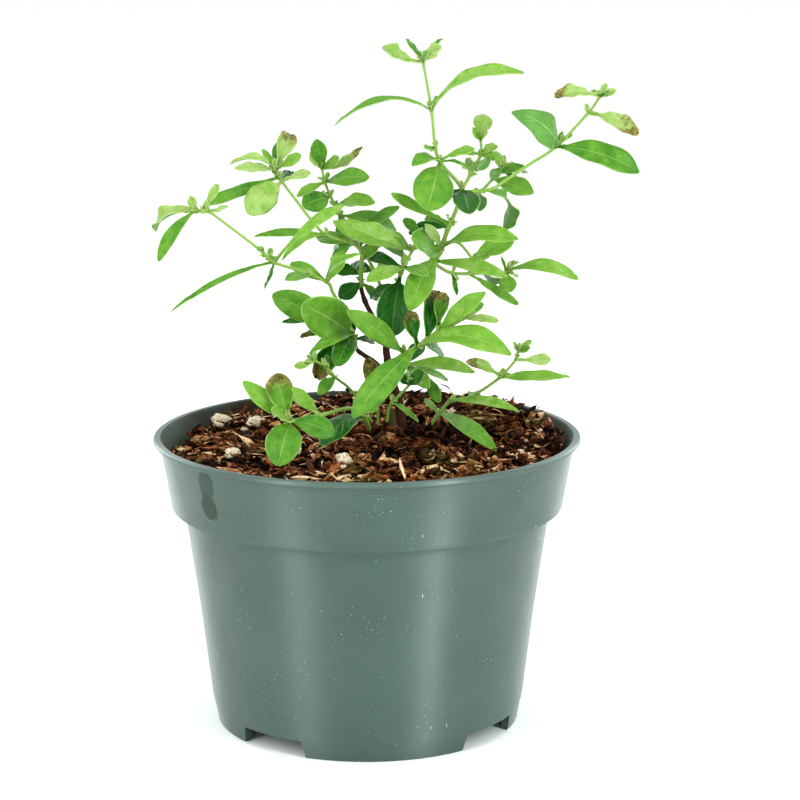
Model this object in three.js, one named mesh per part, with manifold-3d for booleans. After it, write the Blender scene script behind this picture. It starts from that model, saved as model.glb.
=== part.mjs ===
// A potted mint plant: a 6-inch azalea pot of grey-green plastic, filled with bark mix, and a young
// plant whose thin stems carry pairs of smooth-edged, spoon-shaped leaves.
// Millimetres, +Z up. The pot stands on Z = 0, and -Y is the side that faces the viewer.
import * as THREE from 'three';
import { mergeVertices } from 'three/addons/utils/BufferGeometryUtils.js';
import Module from 'manifold-3d';

const wasm = await Module();
wasm.setup();

// Pot
const POT_HEIGHT = 104.2;
const LIP_RADIUS = 76.2;
const LIP_THICKNESS = 1.8;
const COLLAR_TOP_RADIUS = 74;
const COLLAR_BOTTOM_RADIUS = 70.1;
const COLLAR_HEIGHT = 25.5;
const BODY_TOP_RADIUS = 65.5;
const BASE_RADIUS = 54.45;
const WALL = 1.3;
const BAND_RADIUS = 55.9;
const BAND_HEIGHT = 7.9;
const WAIST_RADIUS = 60.3;
const WAIST_HEIGHT = 42.2;
const FLOOR_UNDERSIDE = 6.6;
const FLOOR_THICKNESS = 1.4;
const FOOT_WIDTH = 2.6;
const FOOT_GAP_HEIGHT = 6.2;
const FOOT_GAP_ANGLE = 27;
const FIRST_FOOT_GAP = 52;
const FEET = 4;
const DRAIN_HOLE_RADIUS = 5;
const DRAIN_HOLE_CIRCLE = 42;
const ROUND_FACETS = 36;

// Soil
const CLEARANCE = 0.3;
const CROWN = [10, 13];
const CROWN_LEVEL = -2.2;
const SOIL_EDGE_DROP = 5;
const BARK_CHIPS = 30;
const PERLITE_LUMPS = 6;
const ROOT_DEPTH = 20;
const HOLE_PLAY = 0.7;
const CHIP_FREE_ROUND_STEMS = 10;

// Stems and leaves
const STEM_SIDES = 5;
const BLADE_THICKNESS = 0.7;
const PETIOLE_WIDTH = 1.3;
const TIP_WIDTH = 1.1;
const BROAD_BLADE = 6;
const MIDRIB_FOLD = 0.22;

const COLOURS = {
  pot: 0x6f8379, soil: 0x4a2417, woody_stem: 0x5b3a28, leaf: 0x7cb342,
};

// How each leaf form spreads: where its blade starts, how its widest place moves towards the tip,
// and how blunt its outline is.
const FORMS = {
  oval: { start: 0.05, shift: 1.35, blunt: 0.66 },
  spoon: { start: 0.22, shift: 1.5, blunt: 0.56 },
  lance: { start: 0.04, shift: 1.05, blunt: 0.85 },
  round: { start: 0.12, shift: 1.15, blunt: 0.5 },
};

// The woody stem's limbs, the trunk first. Points are [right, back, above the pot's rim] from the
// pot's axis.
const WOODY_LIMBS = [
  { route: [[13, 15, -3], [11, 14, 10], [9, 13, 17], [7, 13, 27], [8, 14, 38], [12, 16, 47]],
    radii: [1.8, 0.95], stands: true },
  { route: [[9, 13, 17], [3, 8, 24], [-3, 5, 29]], radii: [1.0, 0.75] },
  { route: [[7, 13, 33], [2, 15, 40], [-1, 16, 46]], radii: [1.0, 0.78] },
  { route: [[10, 15, -3], [9, 15, 5]], radii: [2, 1.6], stands: true },
];

// The leafy shoots. `on` names what a shoot grows from: the soil, or a limb or shoot and the place
// along its route. A leaf is [place along the route, tip's offset [right, back, up], width, arch,
// facing in degrees from up (0) to the viewer (90), form].
const SHOOTS = [
  { name: 'leader', on: ['limb_0', 'end'], branches: [
    { route: [
      [14, 16, 49], [25, 13, 62], [29, 12, 72], [32, 12, 79], [34, 12, 86], [26, 11, 96],
      [24, 10, 104], [23, 10, 114], [20, 9, 131]],
      radii: [0.95, 0.42], leaves: [
        [8, [-14, -5, 6], 5.5, -2, 40, 'spoon'],
        [8, [6, -7, 6], 5.5, 1, 60, 'spoon'],
        [8, [-6, 5, 8], 2.5, 1, 20, 'oval'],
        [8, [7, 5, 8], 2, 1.5, 20, 'oval'],
        [7, [-34, -10, -4], 4, 8, 25, 'lance'],
        [7, [32, -8, 14], 6.5, 8, 30, 'oval'],
        [7, [2, 4, 5], 2, 0, 30, 'oval'],
        [5.6, [-4, -6, 1], 3.5, 0, 50, 'oval'],
        [5, [-10, -11, 0], 5.5, 2, 30, 'oval'],
        [5, [12, -5, 5], 4, 1, 40, 'spoon'],
        [5, [12, 5, -6], 2, 3, 30, 'lance'],
        [5, [-5, -16, -15], 14.5, 1, 80, 'round'],
        [4, [2, -20, -6], 9.5, 1, 45, 'round'],
        [4, [-8, 8, -7], 5.5, 1, 45, 'oval'],
        [2.2, [-21, -8, 12], 4.5, 0, 60, 'spoon'],
        [2, [-8, 6, 3], 5, 1, 50, 'oval'],
        [2, [-14, 0, -2], 4.5, 3, 40, 'oval'],
        [1.3, [-6, -15, 10], 4, 0, 80, 'oval'],
        [1.1, [-10, -19, 8], 10, 1, 60, 'round'],
        [1.2, [27, -15, 6], 7.5, 5, 40, 'oval'],
        [1, [-10, -31, -14], 10, 2, 75, 'oval'],
        [0.8, [26, -20, -2], 6, 2, 45, 'oval'],
      ] },
    { route: [
      [27, 12, 67], [33, 17, 66], [38, 20, 60]],
      radii: [0.6, 0.5], leaves: [
        [2, [15, 2, 6], 7.5, 1, 60, 'oval'],
      ] },
  ] },
  { name: 'right_mid', on: ['leader', 0.75], branches: [
    { route: [
      [24, 15, 59], [31, 24, 54], [41, 30, 53], [51, 32, 53]],
      radii: [0.72, 0.5], leaves: [
        [3, [26, -4, -2], 5.5, 6, 45, 'oval'],
        [3, [1, -8, -6], 6.5, 0, 60, 'oval'],
        [3, [-2, -2, 6], 1, 0, 60, 'oval'],
        [3, [5, 6, 3], 1, 1, 40, 'oval'],
        [1.6, [19, 8, -13], 4, 1, 45, 'oval'],
        [1, [2, 4, -9], 2, 0, 45, 'lance'],
        [2, [5, 12, -6], 10.5, 1, 40, 'oval'],
      ] },
  ] },
  { name: 'back_right', on: ['leader', 4.0], branches: [
    { route: [
      [34, 12, 86], [37, 20, 90], [41, 24, 97], [41, 25, 102]],
      radii: [0.65, 0.42], leaves: [
        [3, [1, 3, 9], 7, 0, 85, 'spoon'],
        [3, [-3, -5, 5], 3, 0, 60, 'oval'],
        [2, [-8, 6, 1], 2.5, 0, 40, 'lance'],
        [2, [6, -2, 3], 4, 1, 40, 'oval'],
        [1.5, [4, -10, 1], 7.5, 1, 60, 'round'],
        [1.2, [-2, 11, 0], 4, 1, 50, 'oval'],
        [1.9, [8, -8, 0], 4, 1, 50, 'oval'],
        [1, [0, 12, 5], 3, 1, 50, 'oval'],
      ] },
  ] },
  { name: 'right_back_spray', on: ['leader', 3.6], branches: [
    { route: [
      [34, 12, 84], [40, 24, 83], [46, 34, 87], [49, 38, 90]],
      radii: [0.65, 0.42], leaves: [
        [3, [5, 4, 1], 3.5, 1, 50, 'oval'],
        [3, [-4, -16, -2], 4, 1, 60, 'oval'],
        [3, [11, 14, -3], 5.5, 1, 30, 'lance'],
        [3, [10, 8, -7], 3.5, 0, 40, 'lance'],
        [3, [-1, 8, 3], 3, 1, 50, 'oval'],
        [2, [14, -10, -4], 7.5, 1, 60, 'oval'],
        [1, [1, 12, -8], 5.5, 2, 45, 'oval'],
        [2.4, [10, -2, 3], 4, 1, 45, 'oval'],
      ] },
  ] },
  { name: 'right_branch', on: ['leader', 3.9], branches: [
    { route: [
      [34, 12, 85], [44, 12, 86], [49, 12, 89], [58, 12, 95], [67, 12, 101], [78, 10, 113],
      [82, 8, 119]],
      radii: [0.66, 0.42], leaves: [
        [6, [-16, -6, 1], 5, 2, 50, 'spoon'],
        [6, [-2, 6, 2], 2, 0, 50, 'oval'],
        [6, [3, -4, 2], 2.5, 0, 50, 'oval'],
        [5, [17, -8, -6], 5.5, 3, 60, 'spoon'],
        [0.7, [8, 14, -16], 10, 6, 35, 'oval'],
        [4, [-16, -6, 13], 11.5, 6, 50, 'oval'],
        [4, [29, -8, -8], 10.5, 5, 50, 'oval'],
        [4, [3, 6, 5], 1.5, 0, 50, 'oval'],
        [4.2, [4, 6, 2], 1.5, 0, 50, 'oval'],
      ] },
  ] },
  { name: 'centre', on: ['limb_0', 4.4], branches: [
    { route: [
      [11, 10, 44], [11, 6, 53], [13, 4, 59], [16, 5, 65], [18, 8, 70]],
      radii: [0.74, 0.45], leaves: [
        [1.5, [-3, -9, -20], 12.5, 2, 75, 'round'],
        [2, [-13, -10, -3], 6.5, 2, 45, 'oval'],
        [3, [-21, -13, 11], 7, 2, 45, 'oval'],
        [3, [-28, 13, 9], 8.5, 1, 45, 'oval'],
        [4, [-5, 0, 6], 4, 1, 50, 'oval'],
        [2, [8, -16, 0], 5.5, 1, 50, 'oval'],
        [3, [-8, 15, 5], 4.5, 1, 45, 'oval'],
        [2, [-13, 14, 3], 5, 1, 45, 'oval'],
        [2.4, [-8, 22, 3], 4.5, 1, 45, 'oval'],
        [1, [-10, 6, -6], 5, 1, 50, 'oval'],
      ] },
  ] },
  { name: 'front_right', on: ['limb_0', 2.6], branches: [
    { route: [
      [8, 12, 22], [13, 0, 29], [18, -8, 33], [25, -10, 39], [29, -12, 41], [34, -13, 44]],
      radii: [0.8, 0.5], leaves: [
        [1, [-20, -20, 19], 8, 3, 65, 'oval'],
        [2, [-23, -34, -18], 10, 3, 60, 'oval'],
        [2, [32, -16, 0], 10, 7, 40, 'oval'],
        [2, [-3, 2, 12], 5.5, 1, 80, 'spoon'],
        [2.4, [4, 11, 16], 7.5, 2, 75, 'oval'],
        [2.2, [8, 12, -7], 5.5, 1, 50, 'oval'],
        [3, [16, -8, 15], 6.5, 2, 60, 'oval'],
        [3, [2, 4, 13], 5, 0, 80, 'spoon'],
        [5, [12, -1, -1], 3, 1, 50, 'oval'],
        [5, [2, -3, 5], 1.5, 0, 50, 'lance'],
        [4.6, [9, 9, 5], 3.5, 1, 50, 'oval'],
      ] },
  ] },
  { name: 'right_low', on: ['limb_0', 1.9], branches: [
    { route: [
      [9, 14, 17], [13, 22, 20], [19, 26, 18]],
      radii: [0.65, 0.5], leaves: [
        [1, [26, -6, -1], 6, 3, 45, 'oval'],
        [2, [7, -16, -9], 4.5, 1, 60, 'spoon'],
        [2, [11, 8, -6], 4, 1, 40, 'lance'],
        [1, [8, 12, 6], 5.5, 1, 55, 'oval'],
        [1.2, [8, -15, -5], 6, 1, 50, 'oval'],
      ] },
  ] },
  { name: 'crown_right', on: ['soil'], branches: [
    { route: [
      [7, 6, 3], [8, 3, 9], [11, 1, 13], [15, -2, 18]],
      radii: [0.62, 0.45], leaves: [
        [3, [5, -8, 6], 5.5, 1, 60, 'oval'],
        [3, [-3, -2, 4], 3.5, 0, 60, 'oval'],
        [1.4, [9, -14, -4], 2, 1, 40, 'lance'],
      ] },
  ] },
  { name: 'crown_left', on: ['soil'], branches: [
    { route: [
      [4, 10, 0], [4, 8, 5], [4, 7, 9]],
      radii: [0.6, 0.45], leaves: [
        [2, [2, -3, 4], 3, 0, 60, 'oval'],
        [2, [-5, -9, -1], 5, 1, 50, 'oval'],
        [2, [-4, -7, 18], 6, 1, 70, 'spoon'],
      ] },
  ] },
  { name: 'front_left_low', on: ['soil'], branches: [
    { route: [
      [1, 4, 0], [-1, -6, 7], [-6, -18, 13], [-16, -34, 14], [-26, -43, 14]],
      radii: [0.82, 0.6], leaves: [
        [4, [-4, -15, -12], 12, 2, 60, 'round'],
        [1, [-15, -28, -4], 9.5, 4, 40, 'oval'],
        [4, [15, -3, -4], 8, 2, 55, 'oval'],
        [4, [-5, 1, 16], 9, 1, 80, 'spoon'],
        [4, [-16, -1, 14], 6, 1, 65, 'oval'],
        [4, [-6, -11, 6], 6, 0, 50, 'oval'],
        [3, [-11, 10, 8], 5.5, 1, 60, 'oval'],
      ] },
  ] },
  { name: 'right_low_spray', on: ['soil'], branches: [
    { route: [
      [22, 16, -2], [26, 14, 4], [30, 12, 9], [37, 10, 11], [45, 6, 17], [49, 4, 21], [53, 3, 26],
      [54, 3, 29]],
      radii: [0.75, 0.42], leaves: [
        [1, [19, -38, -5], 7.5, 4, 45, 'oval'],
        [2, [24, -16, 0], 4.5, 2, 40, 'lance'],
        [4.5, [25, -9, 2], 5, 2, 45, 'lance'],
        [4.6, [-12, -11, 8], 4, 1, 55, 'spoon'],
        [7, [-1, 5, 1], 1.5, 0, 50, 'oval'],
        [7, [4, -3, 2], 2.5, 0, 60, 'oval'],
        [6, [13, 7, -1], 4.5, 1, 70, 'spoon'],
        [3, [4, 14, -3], 6, 1, 40, 'oval'],
        [1, [-5, 12, 3], 2.5, 1, 50, 'lance'],
      ] },
  ] },
  { name: 'left_low_thin', on: ['soil'], branches: [
    { route: [
      [3, 22, -3], [-2, 10, 8], [-6, -4, 17], [-11, -13, 23], [-14, -16, 27], [-18, -18, 30]],
      radii: [0.6, 0.42], leaves: [
        [5, [-7, -6, -1], 3, 0, 50, 'spoon'],
        [5, [-1, 6, 2], 2, 0, 60, 'oval'],
        [3, [-6, -9, -4], 4.5, 1, 60, 'oval'],
        [4, [0, 10, 3], 2, 0, 60, 'lance'],
      ] },
  ] },
  { name: 'left_branch', on: ['limb_1', 'end'], branches: [
    { route: [
      [-4, 4, 32], [-5, 3, 35], [-8, 2, 43], [-12, 0, 51], [-14, -2, 55], [-23, -8, 60],
      [-32, -14, 64], [-36, -16, 68], [-50, -22, 80], [-54, -24, 83], [-58, -25, 84]],
      radii: [0.74, 0.42], leaves: [
        [10, [-13, -5, -17], 4.5, 4, 50, 'oval'],
        [10, [-15, 9, -8], 6, 3, 40, 'oval'],
        [10, [-3, 3, 3], 2, 0, 50, 'oval'],
        [9.5, [5, 8, 8], 3, 0, 70, 'spoon'],
        [9, [7, -8, 3], 2.5, 0, 50, 'oval'],
        [6, [-35, -20, -14], 4, 4, 45, 'lance'],
        [6, [24, 8, 19], 4.5, 4, 45, 'spoon'],
        [6, [-4, 10, -11], 2, 0, 20, 'lance'],
        [6.4, [0, 7, 3], 2, 0, 60, 'oval'],
        [7, [-1, -10, 2], 2, 0, 60, 'oval'],
        [4, [-13, 4, 6], 5.5, 1, 45, 'oval'],
        [4.6, [-9, -16, 1], 4.5, 1, 45, 'oval'],
        [4, [6, 8, 10], 5, 0, 70, 'oval'],
        [4, [12, -6, 11], 3.5, 4, 40, 'lance'],
        [1, [-17, -27, 16], 15, 2, 75, 'round'],
        [1, [-28, -13, 17], 10, 2, 70, 'spoon'],
        [2, [-22, -6, -2], 3.5, 1, 50, 'oval'],
        [2, [2, 8, -9], 4.5, 1, 55, 'oval'],
        [1.6, [-17, -4, -4], 2.5, 0, 50, 'spoon'],
        [1, [-15, -23, -2], 5, 4, 50, 'lance'],
        [1, [-13, 1, -16], 7.5, 3, 60, 'oval'],
        [0.6, [-6, -19, -6], 8, 3, 60, 'round'],
        [0.6, [7, 9, -3], 3.5, 1, 50, 'oval'],
      ] },
  ] },
  { name: 'upper_left', on: ['limb_2', 'end'], branches: [
    { route: [
      [-2, 16, 50], [-2, 16, 56], [-2, 16, 63], [-5, 16, 66], [-14, 15, 69], [-19, 14, 74],
      [-25, 13, 82], [-30, 12, 89], [-32, 12, 93]],
      radii: [0.78, 0.42], leaves: [
        [8, [-16, -4, 3], 3, 4, 40, 'lance'],
        [8, [-14, -12, 2], 4.5, 1, 55, 'oval'],
        [8, [5, 6, 12], 6.5, 2, 85, 'spoon'],
        [8, [1, 12, 9], 4.5, 0, 80, 'oval'],
        [8, [9, -6, 6], 4.5, 1, 65, 'spoon'],
        [7, [-12, -14, -9], 10.5, 1, 80, 'round'],
        [7.3, [-27, -6, -9], 5.5, 1, 50, 'oval'],
        [7, [3, 12, 2], 5, 0, 70, 'oval'],
        [7, [10, 2, 3], 3.5, 1, 60, 'spoon'],
        [8, [-5, 4, 7], 2.5, 0, 60, 'oval'],
        [4, [-26, -7, 1], 3.5, 2, 45, 'lance'],
        [4, [-16, -11, -7], 3.5, 5, 35, 'lance'],
        [3, [-8, 4, -7], 5, 1, 50, 'oval'],
        [1.5, [6, -5, 6], 5, 1, 50, 'oval'],
        [2, [8, 8, 3], 5, 1, 50, 'oval'],
        [0.8, [-10, 4, 1], 5.5, 1, 50, 'oval'],
        [0.3, [-8, -2, -5], 6.5, 1, 60, 'oval'],
        [3, [-13, 10, 1], 6, 1, 50, 'oval'],
        [2.5, [6, 8, 6], 4.5, 1, 50, 'oval'],
        [0.3, [6, 4, -7], 4, 1, 50, 'oval'],
      ] },
  ] },
  { name: 'back_left', on: ['limb_0', 4.2], branches: [
    { route: [
      [8, 16, 41], [3, 26, 54], [-4, 30, 66], [-11, 31, 77], [-15, 31, 86], [-16, 31, 91]],
      radii: [0.68, 0.42], leaves: [
        [5, [-2, -2, 11], 6, 0, 85, 'oval'],
        [5, [6, -9, 5], 5, 0, 60, 'oval'],
        [5, [-4, 5, 6], 3.5, 0, 50, 'oval'],
        [5, [14, -7, 9], 3.5, -3, 50, 'lance'],
        [4, [16, -11, 3], 8, 2, 45, 'oval'],
        [4, [-10, -7, -4], 3.5, 1, 45, 'oval'],
        [3.4, [-10, -9, -2], 8.5, 1, 60, 'round'],
        [3, [14, -11, 3], 6, 2, 50, 'oval'],
        [2, [16, 4, 11], 5, 1, 50, 'oval'],
        [2, [-8, 10, -5], 6.5, 1, 50, 'oval'],
        [2.7, [20, 5, -6], 10, 2, 35, 'oval'],
        [1, [-9, 10, 1], 5.5, 1, 55, 'oval'],
        [1, [7, 12, 2], 5, 1, 50, 'oval'],
        [2.8, [2, -9, -13], 5.5, 1, 70, 'oval'],
      ] },
  ] },];

// A seeded random draw from 0 to 1, so that the bark lies the same way each time.
function seededDraw(seed) {
  let state = seed;
  return () => {
    state = (state + 0x6d2b79f5) | 0;
    let mixed = Math.imul(state ^ (state >>> 15), 1 | state);
    mixed = (mixed + Math.imul(mixed ^ (mixed >>> 7), 61 | mixed)) ^ mixed;
    return ((mixed ^ (mixed >>> 14)) >>> 0) / 4294967296;
  };
}

function solidOf(geometry) {
  const bare = geometry.index ? geometry.toNonIndexed() : geometry.clone();
  bare.deleteAttribute('normal');
  bare.deleteAttribute('uv');
  const merged = mergeVertices(bare, 1e-4);
  return new wasm.Manifold(new wasm.Mesh({
    numProp: 3,
    vertProperties: new Float32Array(merged.attributes.position.array),
    triVerts: new Uint32Array(merged.index.array),
  }));
}

function meshOf(name, solid, colour, roughness) {
  const result = solid.getMesh();
  const geometry = new THREE.BufferGeometry();
  geometry.setAttribute('position', new THREE.BufferAttribute(result.vertProperties, 3));
  geometry.setIndex(new THREE.BufferAttribute(result.triVerts, 1));
  const material = new THREE.MeshStandardMaterial({ color: colour, roughness, metalness: 0 });
  const mesh = new THREE.Mesh(geometry, material);
  mesh.name = name;
  return mesh;
}

function union(solids) {
  return solids.reduce((whole, solid) => whole.add(solid));
}

function geometryFrom(points, faces) {
  const geometry = new THREE.BufferGeometry().setFromPoints(points);
  geometry.setIndex(faces.flat());
  return geometry;
}

// A plan point, measured from the pot's axis at rim height, as a point that stands on Z = 0.
function place([right, back, up]) {
  return new THREE.Vector3(right, back, up + POT_HEIGHT);
}

// What has been made so far: the stems that carry others, and the holes in the soil.
const carriers = {};
const holes = [];

// ---------------------------------------------------------------- pot

// The wall's outline from the axis under the floor, up the outside and down the inside.
function potProfile() {
  const stepHeight = POT_HEIGHT - COLLAR_HEIGHT;
  const floorTop = FLOOR_UNDERSIDE + FLOOR_THICKNESS;
  const footInside = BASE_RADIUS - FOOT_WIDTH;
  return [
    [0, FLOOR_UNDERSIDE],
    [footInside - 1, FLOOR_UNDERSIDE],
    [footInside, 0],
    [BASE_RADIUS, 0],
    [BAND_RADIUS, BAND_HEIGHT],
    [WAIST_RADIUS, WAIST_HEIGHT],
    [BODY_TOP_RADIUS, stepHeight - 0.8],
    [COLLAR_BOTTOM_RADIUS - 0.9, stepHeight],
    [COLLAR_BOTTOM_RADIUS, stepHeight + 1],
    [COLLAR_TOP_RADIUS, POT_HEIGHT - LIP_THICKNESS],
    [LIP_RADIUS - 0.4, POT_HEIGHT - LIP_THICKNESS],
    [LIP_RADIUS, POT_HEIGHT - LIP_THICKNESS / 2],
    [LIP_RADIUS - 0.6, POT_HEIGHT],
    [COLLAR_TOP_RADIUS - 0.6, POT_HEIGHT],
    [COLLAR_TOP_RADIUS - WALL, POT_HEIGHT - 1.2],
    [COLLAR_BOTTOM_RADIUS - WALL, stepHeight + 1.4],
    [BODY_TOP_RADIUS - WALL, stepHeight + 0.6],
    [WAIST_RADIUS - WALL, WAIST_HEIGHT],
    [BAND_RADIUS - WALL, floorTop + 1.5],
    [BAND_RADIUS - WALL - 1.4, floorTop],
    [0, floorTop],
  ];
}

function lathe(profile) {
  const points = profile.map(([radius, height]) => new THREE.Vector2(radius, height));
  const geometry = new THREE.LatheGeometry(points, ROUND_FACETS);
  geometry.rotateX(Math.PI / 2);
  return geometry;
}

// One opening in the foot ring, with sides that slant outwards towards the ground.
function footGap(azimuth) {
  const halfTop = BASE_RADIUS * Math.sin(THREE.MathUtils.degToRad(FOOT_GAP_ANGLE / 2));
  const halfBottom = halfTop + 1.2;
  const outline = new THREE.Shape([
    new THREE.Vector2(-halfBottom, -1),
    new THREE.Vector2(halfBottom, -1),
    new THREE.Vector2(halfTop, FOOT_GAP_HEIGHT),
    new THREE.Vector2(-halfTop, FOOT_GAP_HEIGHT),
  ]);
  const gap = new THREE.ExtrudeGeometry(outline, { depth: 14, bevelEnabled: false });
  gap.rotateX(Math.PI / 2);
  gap.translate(0, -BASE_RADIUS + 8, 0);
  gap.rotateZ(THREE.MathUtils.degToRad(azimuth));
  return solidOf(gap);
}

function drainHole(azimuth) {
  const hole = new THREE.CylinderGeometry(DRAIN_HOLE_RADIUS, DRAIN_HOLE_RADIUS, 6, 12);
  hole.rotateX(Math.PI / 2);
  hole.translate(0, -DRAIN_HOLE_CIRCLE, FLOOR_UNDERSIDE + FLOOR_THICKNESS / 2);
  hole.rotateZ(THREE.MathUtils.degToRad(azimuth));
  return solidOf(hole);
}

function potSolid() {
  let pot = solidOf(lathe(potProfile()));
  for (let foot = 0; foot < FEET; foot += 1) {
    const azimuth = FIRST_FOOT_GAP + (foot * 360) / FEET;
    pot = pot.subtract(footGap(azimuth)).subtract(drainHole(azimuth));
  }
  return pot;
}

// ---------------------------------------------------------------- soil

// The bark's level under the rim: highest round the crown, lower at the pot's left and right.
function soilLevel(x, y) {
  const side = (x - CROWN[0] * 0.4) / COLLAR_BOTTOM_RADIUS;
  const ripple = 0.6 * Math.sin(x * 0.21 + y * 0.13) + 0.5 * Math.sin(y * 0.27 - x * 0.09);
  return CROWN_LEVEL - SOIL_EDGE_DROP * side * side + ripple;
}

function soilBody() {
  const stepHeight = POT_HEIGHT - COLLAR_HEIGHT;
  const floorTop = FLOOR_UNDERSIDE + FLOOR_THICKNESS;
  const edgeHeight = POT_HEIGHT - 8;
  const collarRise = (edgeHeight - stepHeight) / COLLAR_HEIGHT;
  const collarRadius = THREE.MathUtils.lerp(COLLAR_BOTTOM_RADIUS, COLLAR_TOP_RADIUS, collarRise);
  const edgeRadius = collarRadius - WALL - 3 * CLEARANCE;
  const bodyRadius = BODY_TOP_RADIUS - WALL - 2 * CLEARANCE;
  const rings = [
    [0, floorTop + CLEARANCE],
    [BAND_RADIUS - WALL - 1.4, floorTop + CLEARANCE],
    [BAND_RADIUS - WALL - 0.4, floorTop + 2],
    [WAIST_RADIUS - WALL - 2 * CLEARANCE, WAIST_HEIGHT],
    [bodyRadius, stepHeight + 0.6 + 2 * CLEARANCE],
    [COLLAR_BOTTOM_RADIUS - WALL - 2 * CLEARANCE, stepHeight + 1.4 + 2 * CLEARANCE],
    [edgeRadius, edgeHeight],
  ];
  const surfaceRadii = [edgeRadius - 0.8, 59, 45, 30, 15, 0];
  const rows = rings.concat(surfaceRadii.map((radius) => [radius, POT_HEIGHT]));
  const geometry = lathe(rows);
  const position = geometry.attributes.position;
  for (let index = 0; index < position.count; index += 1) {
    if (position.getZ(index) > POT_HEIGHT - 1) {
      const level = soilLevel(position.getX(index), position.getY(index));
      position.setZ(index, POT_HEIGHT + level);
    }
  }
  return solidOf(geometry);
}

// A place drawn on the surface, clear of the pot's wall and of every stem's hole.
function surfacePlace(draw) {
  for (;;) {
    const radius = 62 * Math.sqrt(draw());
    const azimuth = 2 * Math.PI * draw();
    const x = radius * Math.cos(azimuth);
    const y = radius * Math.sin(azimuth);
    if (holes.every((hole) => Math.hypot(hole[0] - x, hole[1] - y) > CHIP_FREE_ROUND_STEMS)) {
      return [x, y];
    }
  }
}

// One sliver of bark, half sunk in the surface and tipped a little.
function barkChip(draw) {
  const length = 6 + 9 * draw();
  const width = 2 + 2.2 * draw();
  const thickness = 1.6 + 0.9 * draw();
  const [x, y] = surfacePlace(draw);
  const chip = new THREE.BoxGeometry(length, width, thickness);
  chip.rotateY(0.5 * (draw() - 0.5));
  chip.rotateZ(2 * Math.PI * draw());
  chip.translate(x, y, POT_HEIGHT + soilLevel(x, y) + 0.2);
  return solidOf(chip);
}

function perliteLump(draw) {
  const lump = new THREE.IcosahedronGeometry(1.4 + 1.2 * draw(), 0);
  const [x, y] = surfacePlace(draw);
  lump.translate(x, y, POT_HEIGHT + soilLevel(x, y) + 0.4);
  return solidOf(lump);
}

// A plain round hole for a stem that stands in the soil.
function stemHole([x, y, radius]) {
  const depth = ROOT_DEPTH + CLEARANCE;
  const height = depth + 14;
  const hole = new THREE.CylinderGeometry(radius, radius, height, 10);
  hole.rotateX(Math.PI / 2);
  hole.translate(x, y, POT_HEIGHT + CROWN_LEVEL - depth + height / 2);
  return solidOf(hole);
}

function soilSolid() {
  const draw = seededDraw(7);
  const pieces = [soilBody()];
  for (let chip = 0; chip < BARK_CHIPS; chip += 1) {
    pieces.push(barkChip(draw));
  }
  for (let lump = 0; lump < PERLITE_LUMPS; lump += 1) {
    pieces.push(perliteLump(draw));
  }
  return holes.reduce((soil, hole) => soil.subtract(stemHole(hole)), union(pieces));
}

// ---------------------------------------------------------------- stems

// The point that lies `at` joints along a route, counted from its start.
function pointAlong(points, at) {
  const joint = Math.min(Math.floor(at), points.length - 2);
  return points[joint].clone().lerp(points[joint + 1], at - joint);
}

function directionAlong(points, at) {
  const joint = Math.min(Math.floor(at), points.length - 2);
  return points[joint + 1].clone().sub(points[joint]).normalize();
}

// The direction in which a route passes through one of its joints.
function jointDirection(points, joint) {
  const before = directionAlong(points, Math.max(joint - 1, 0));
  const after = directionAlong(points, Math.min(joint, points.length - 2));
  return before.add(after).normalize();
}

// A tapering stem of few sides along a route, closed at both ends.
function stemSolid(points, [startRadius, endRadius]) {
  const joints = points.length - 1;
  const tangents = points.map((point, joint) => jointDirection(points, joint));
  const vertices = [];
  const faces = [];
  let side = new THREE.Vector3(1, 0, 0).cross(tangents[0]).normalize();
  for (let joint = 0; joint <= joints; joint += 1) {
    const along = tangents[joint];
    side = side.clone().addScaledVector(along, -side.dot(along)).normalize();
    const across = along.clone().cross(side);
    const radius = startRadius + (endRadius - startRadius) * (joint / joints);
    for (let corner = 0; corner < STEM_SIDES; corner += 1) {
      const angle = (2 * Math.PI * corner) / STEM_SIDES;
      vertices.push(points[joint].clone()
        .addScaledVector(side, radius * Math.cos(angle))
        .addScaledVector(across, radius * Math.sin(angle)));
    }
  }
  for (let joint = 0; joint < joints; joint += 1) {
    for (let corner = 0; corner < STEM_SIDES; corner += 1) {
      const here = joint * STEM_SIDES + corner;
      const next = joint * STEM_SIDES + ((corner + 1) % STEM_SIDES);
      faces.push([here, next, next + STEM_SIDES], [here, next + STEM_SIDES, here + STEM_SIDES]);
    }
  }
  const last = joints * STEM_SIDES;
  for (let corner = 1; corner < STEM_SIDES - 1; corner += 1) {
    faces.push([0, corner + 1, corner], [last, last + corner, last + corner + 1]);
  }
  return solidOf(geometryFrom(vertices, faces));
}

// Where a shoot leaves its carrier, a small clearance off the carrier's surface.
function leavePoint(carrier, at, next, radius) {
  const joints = carrier.points.length - 1;
  const joint = at === 'end' ? joints : at + carrier.shift;
  const from = pointAlong(carrier.points, joint);
  const along = directionAlong(carrier.points, joint);
  const [startRadius, endRadius] = carrier.radii;
  const carrierRadius = startRadius + (endRadius - startRadius) * (joint / joints);
  const away = next.clone().sub(from).normalize();
  const sine = Math.max(away.clone().cross(along).length(), 0.35);
  const cosine = Math.abs(away.dot(along));
  if (at === 'end') {
    return from.addScaledVector(along, CLEARANCE + Math.max(radius, carrierRadius) * sine);
  }
  return from.addScaledVector(away, (carrierRadius + CLEARANCE + radius * cosine) / sine);
}

// ---------------------------------------------------------------- leaves

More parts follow.
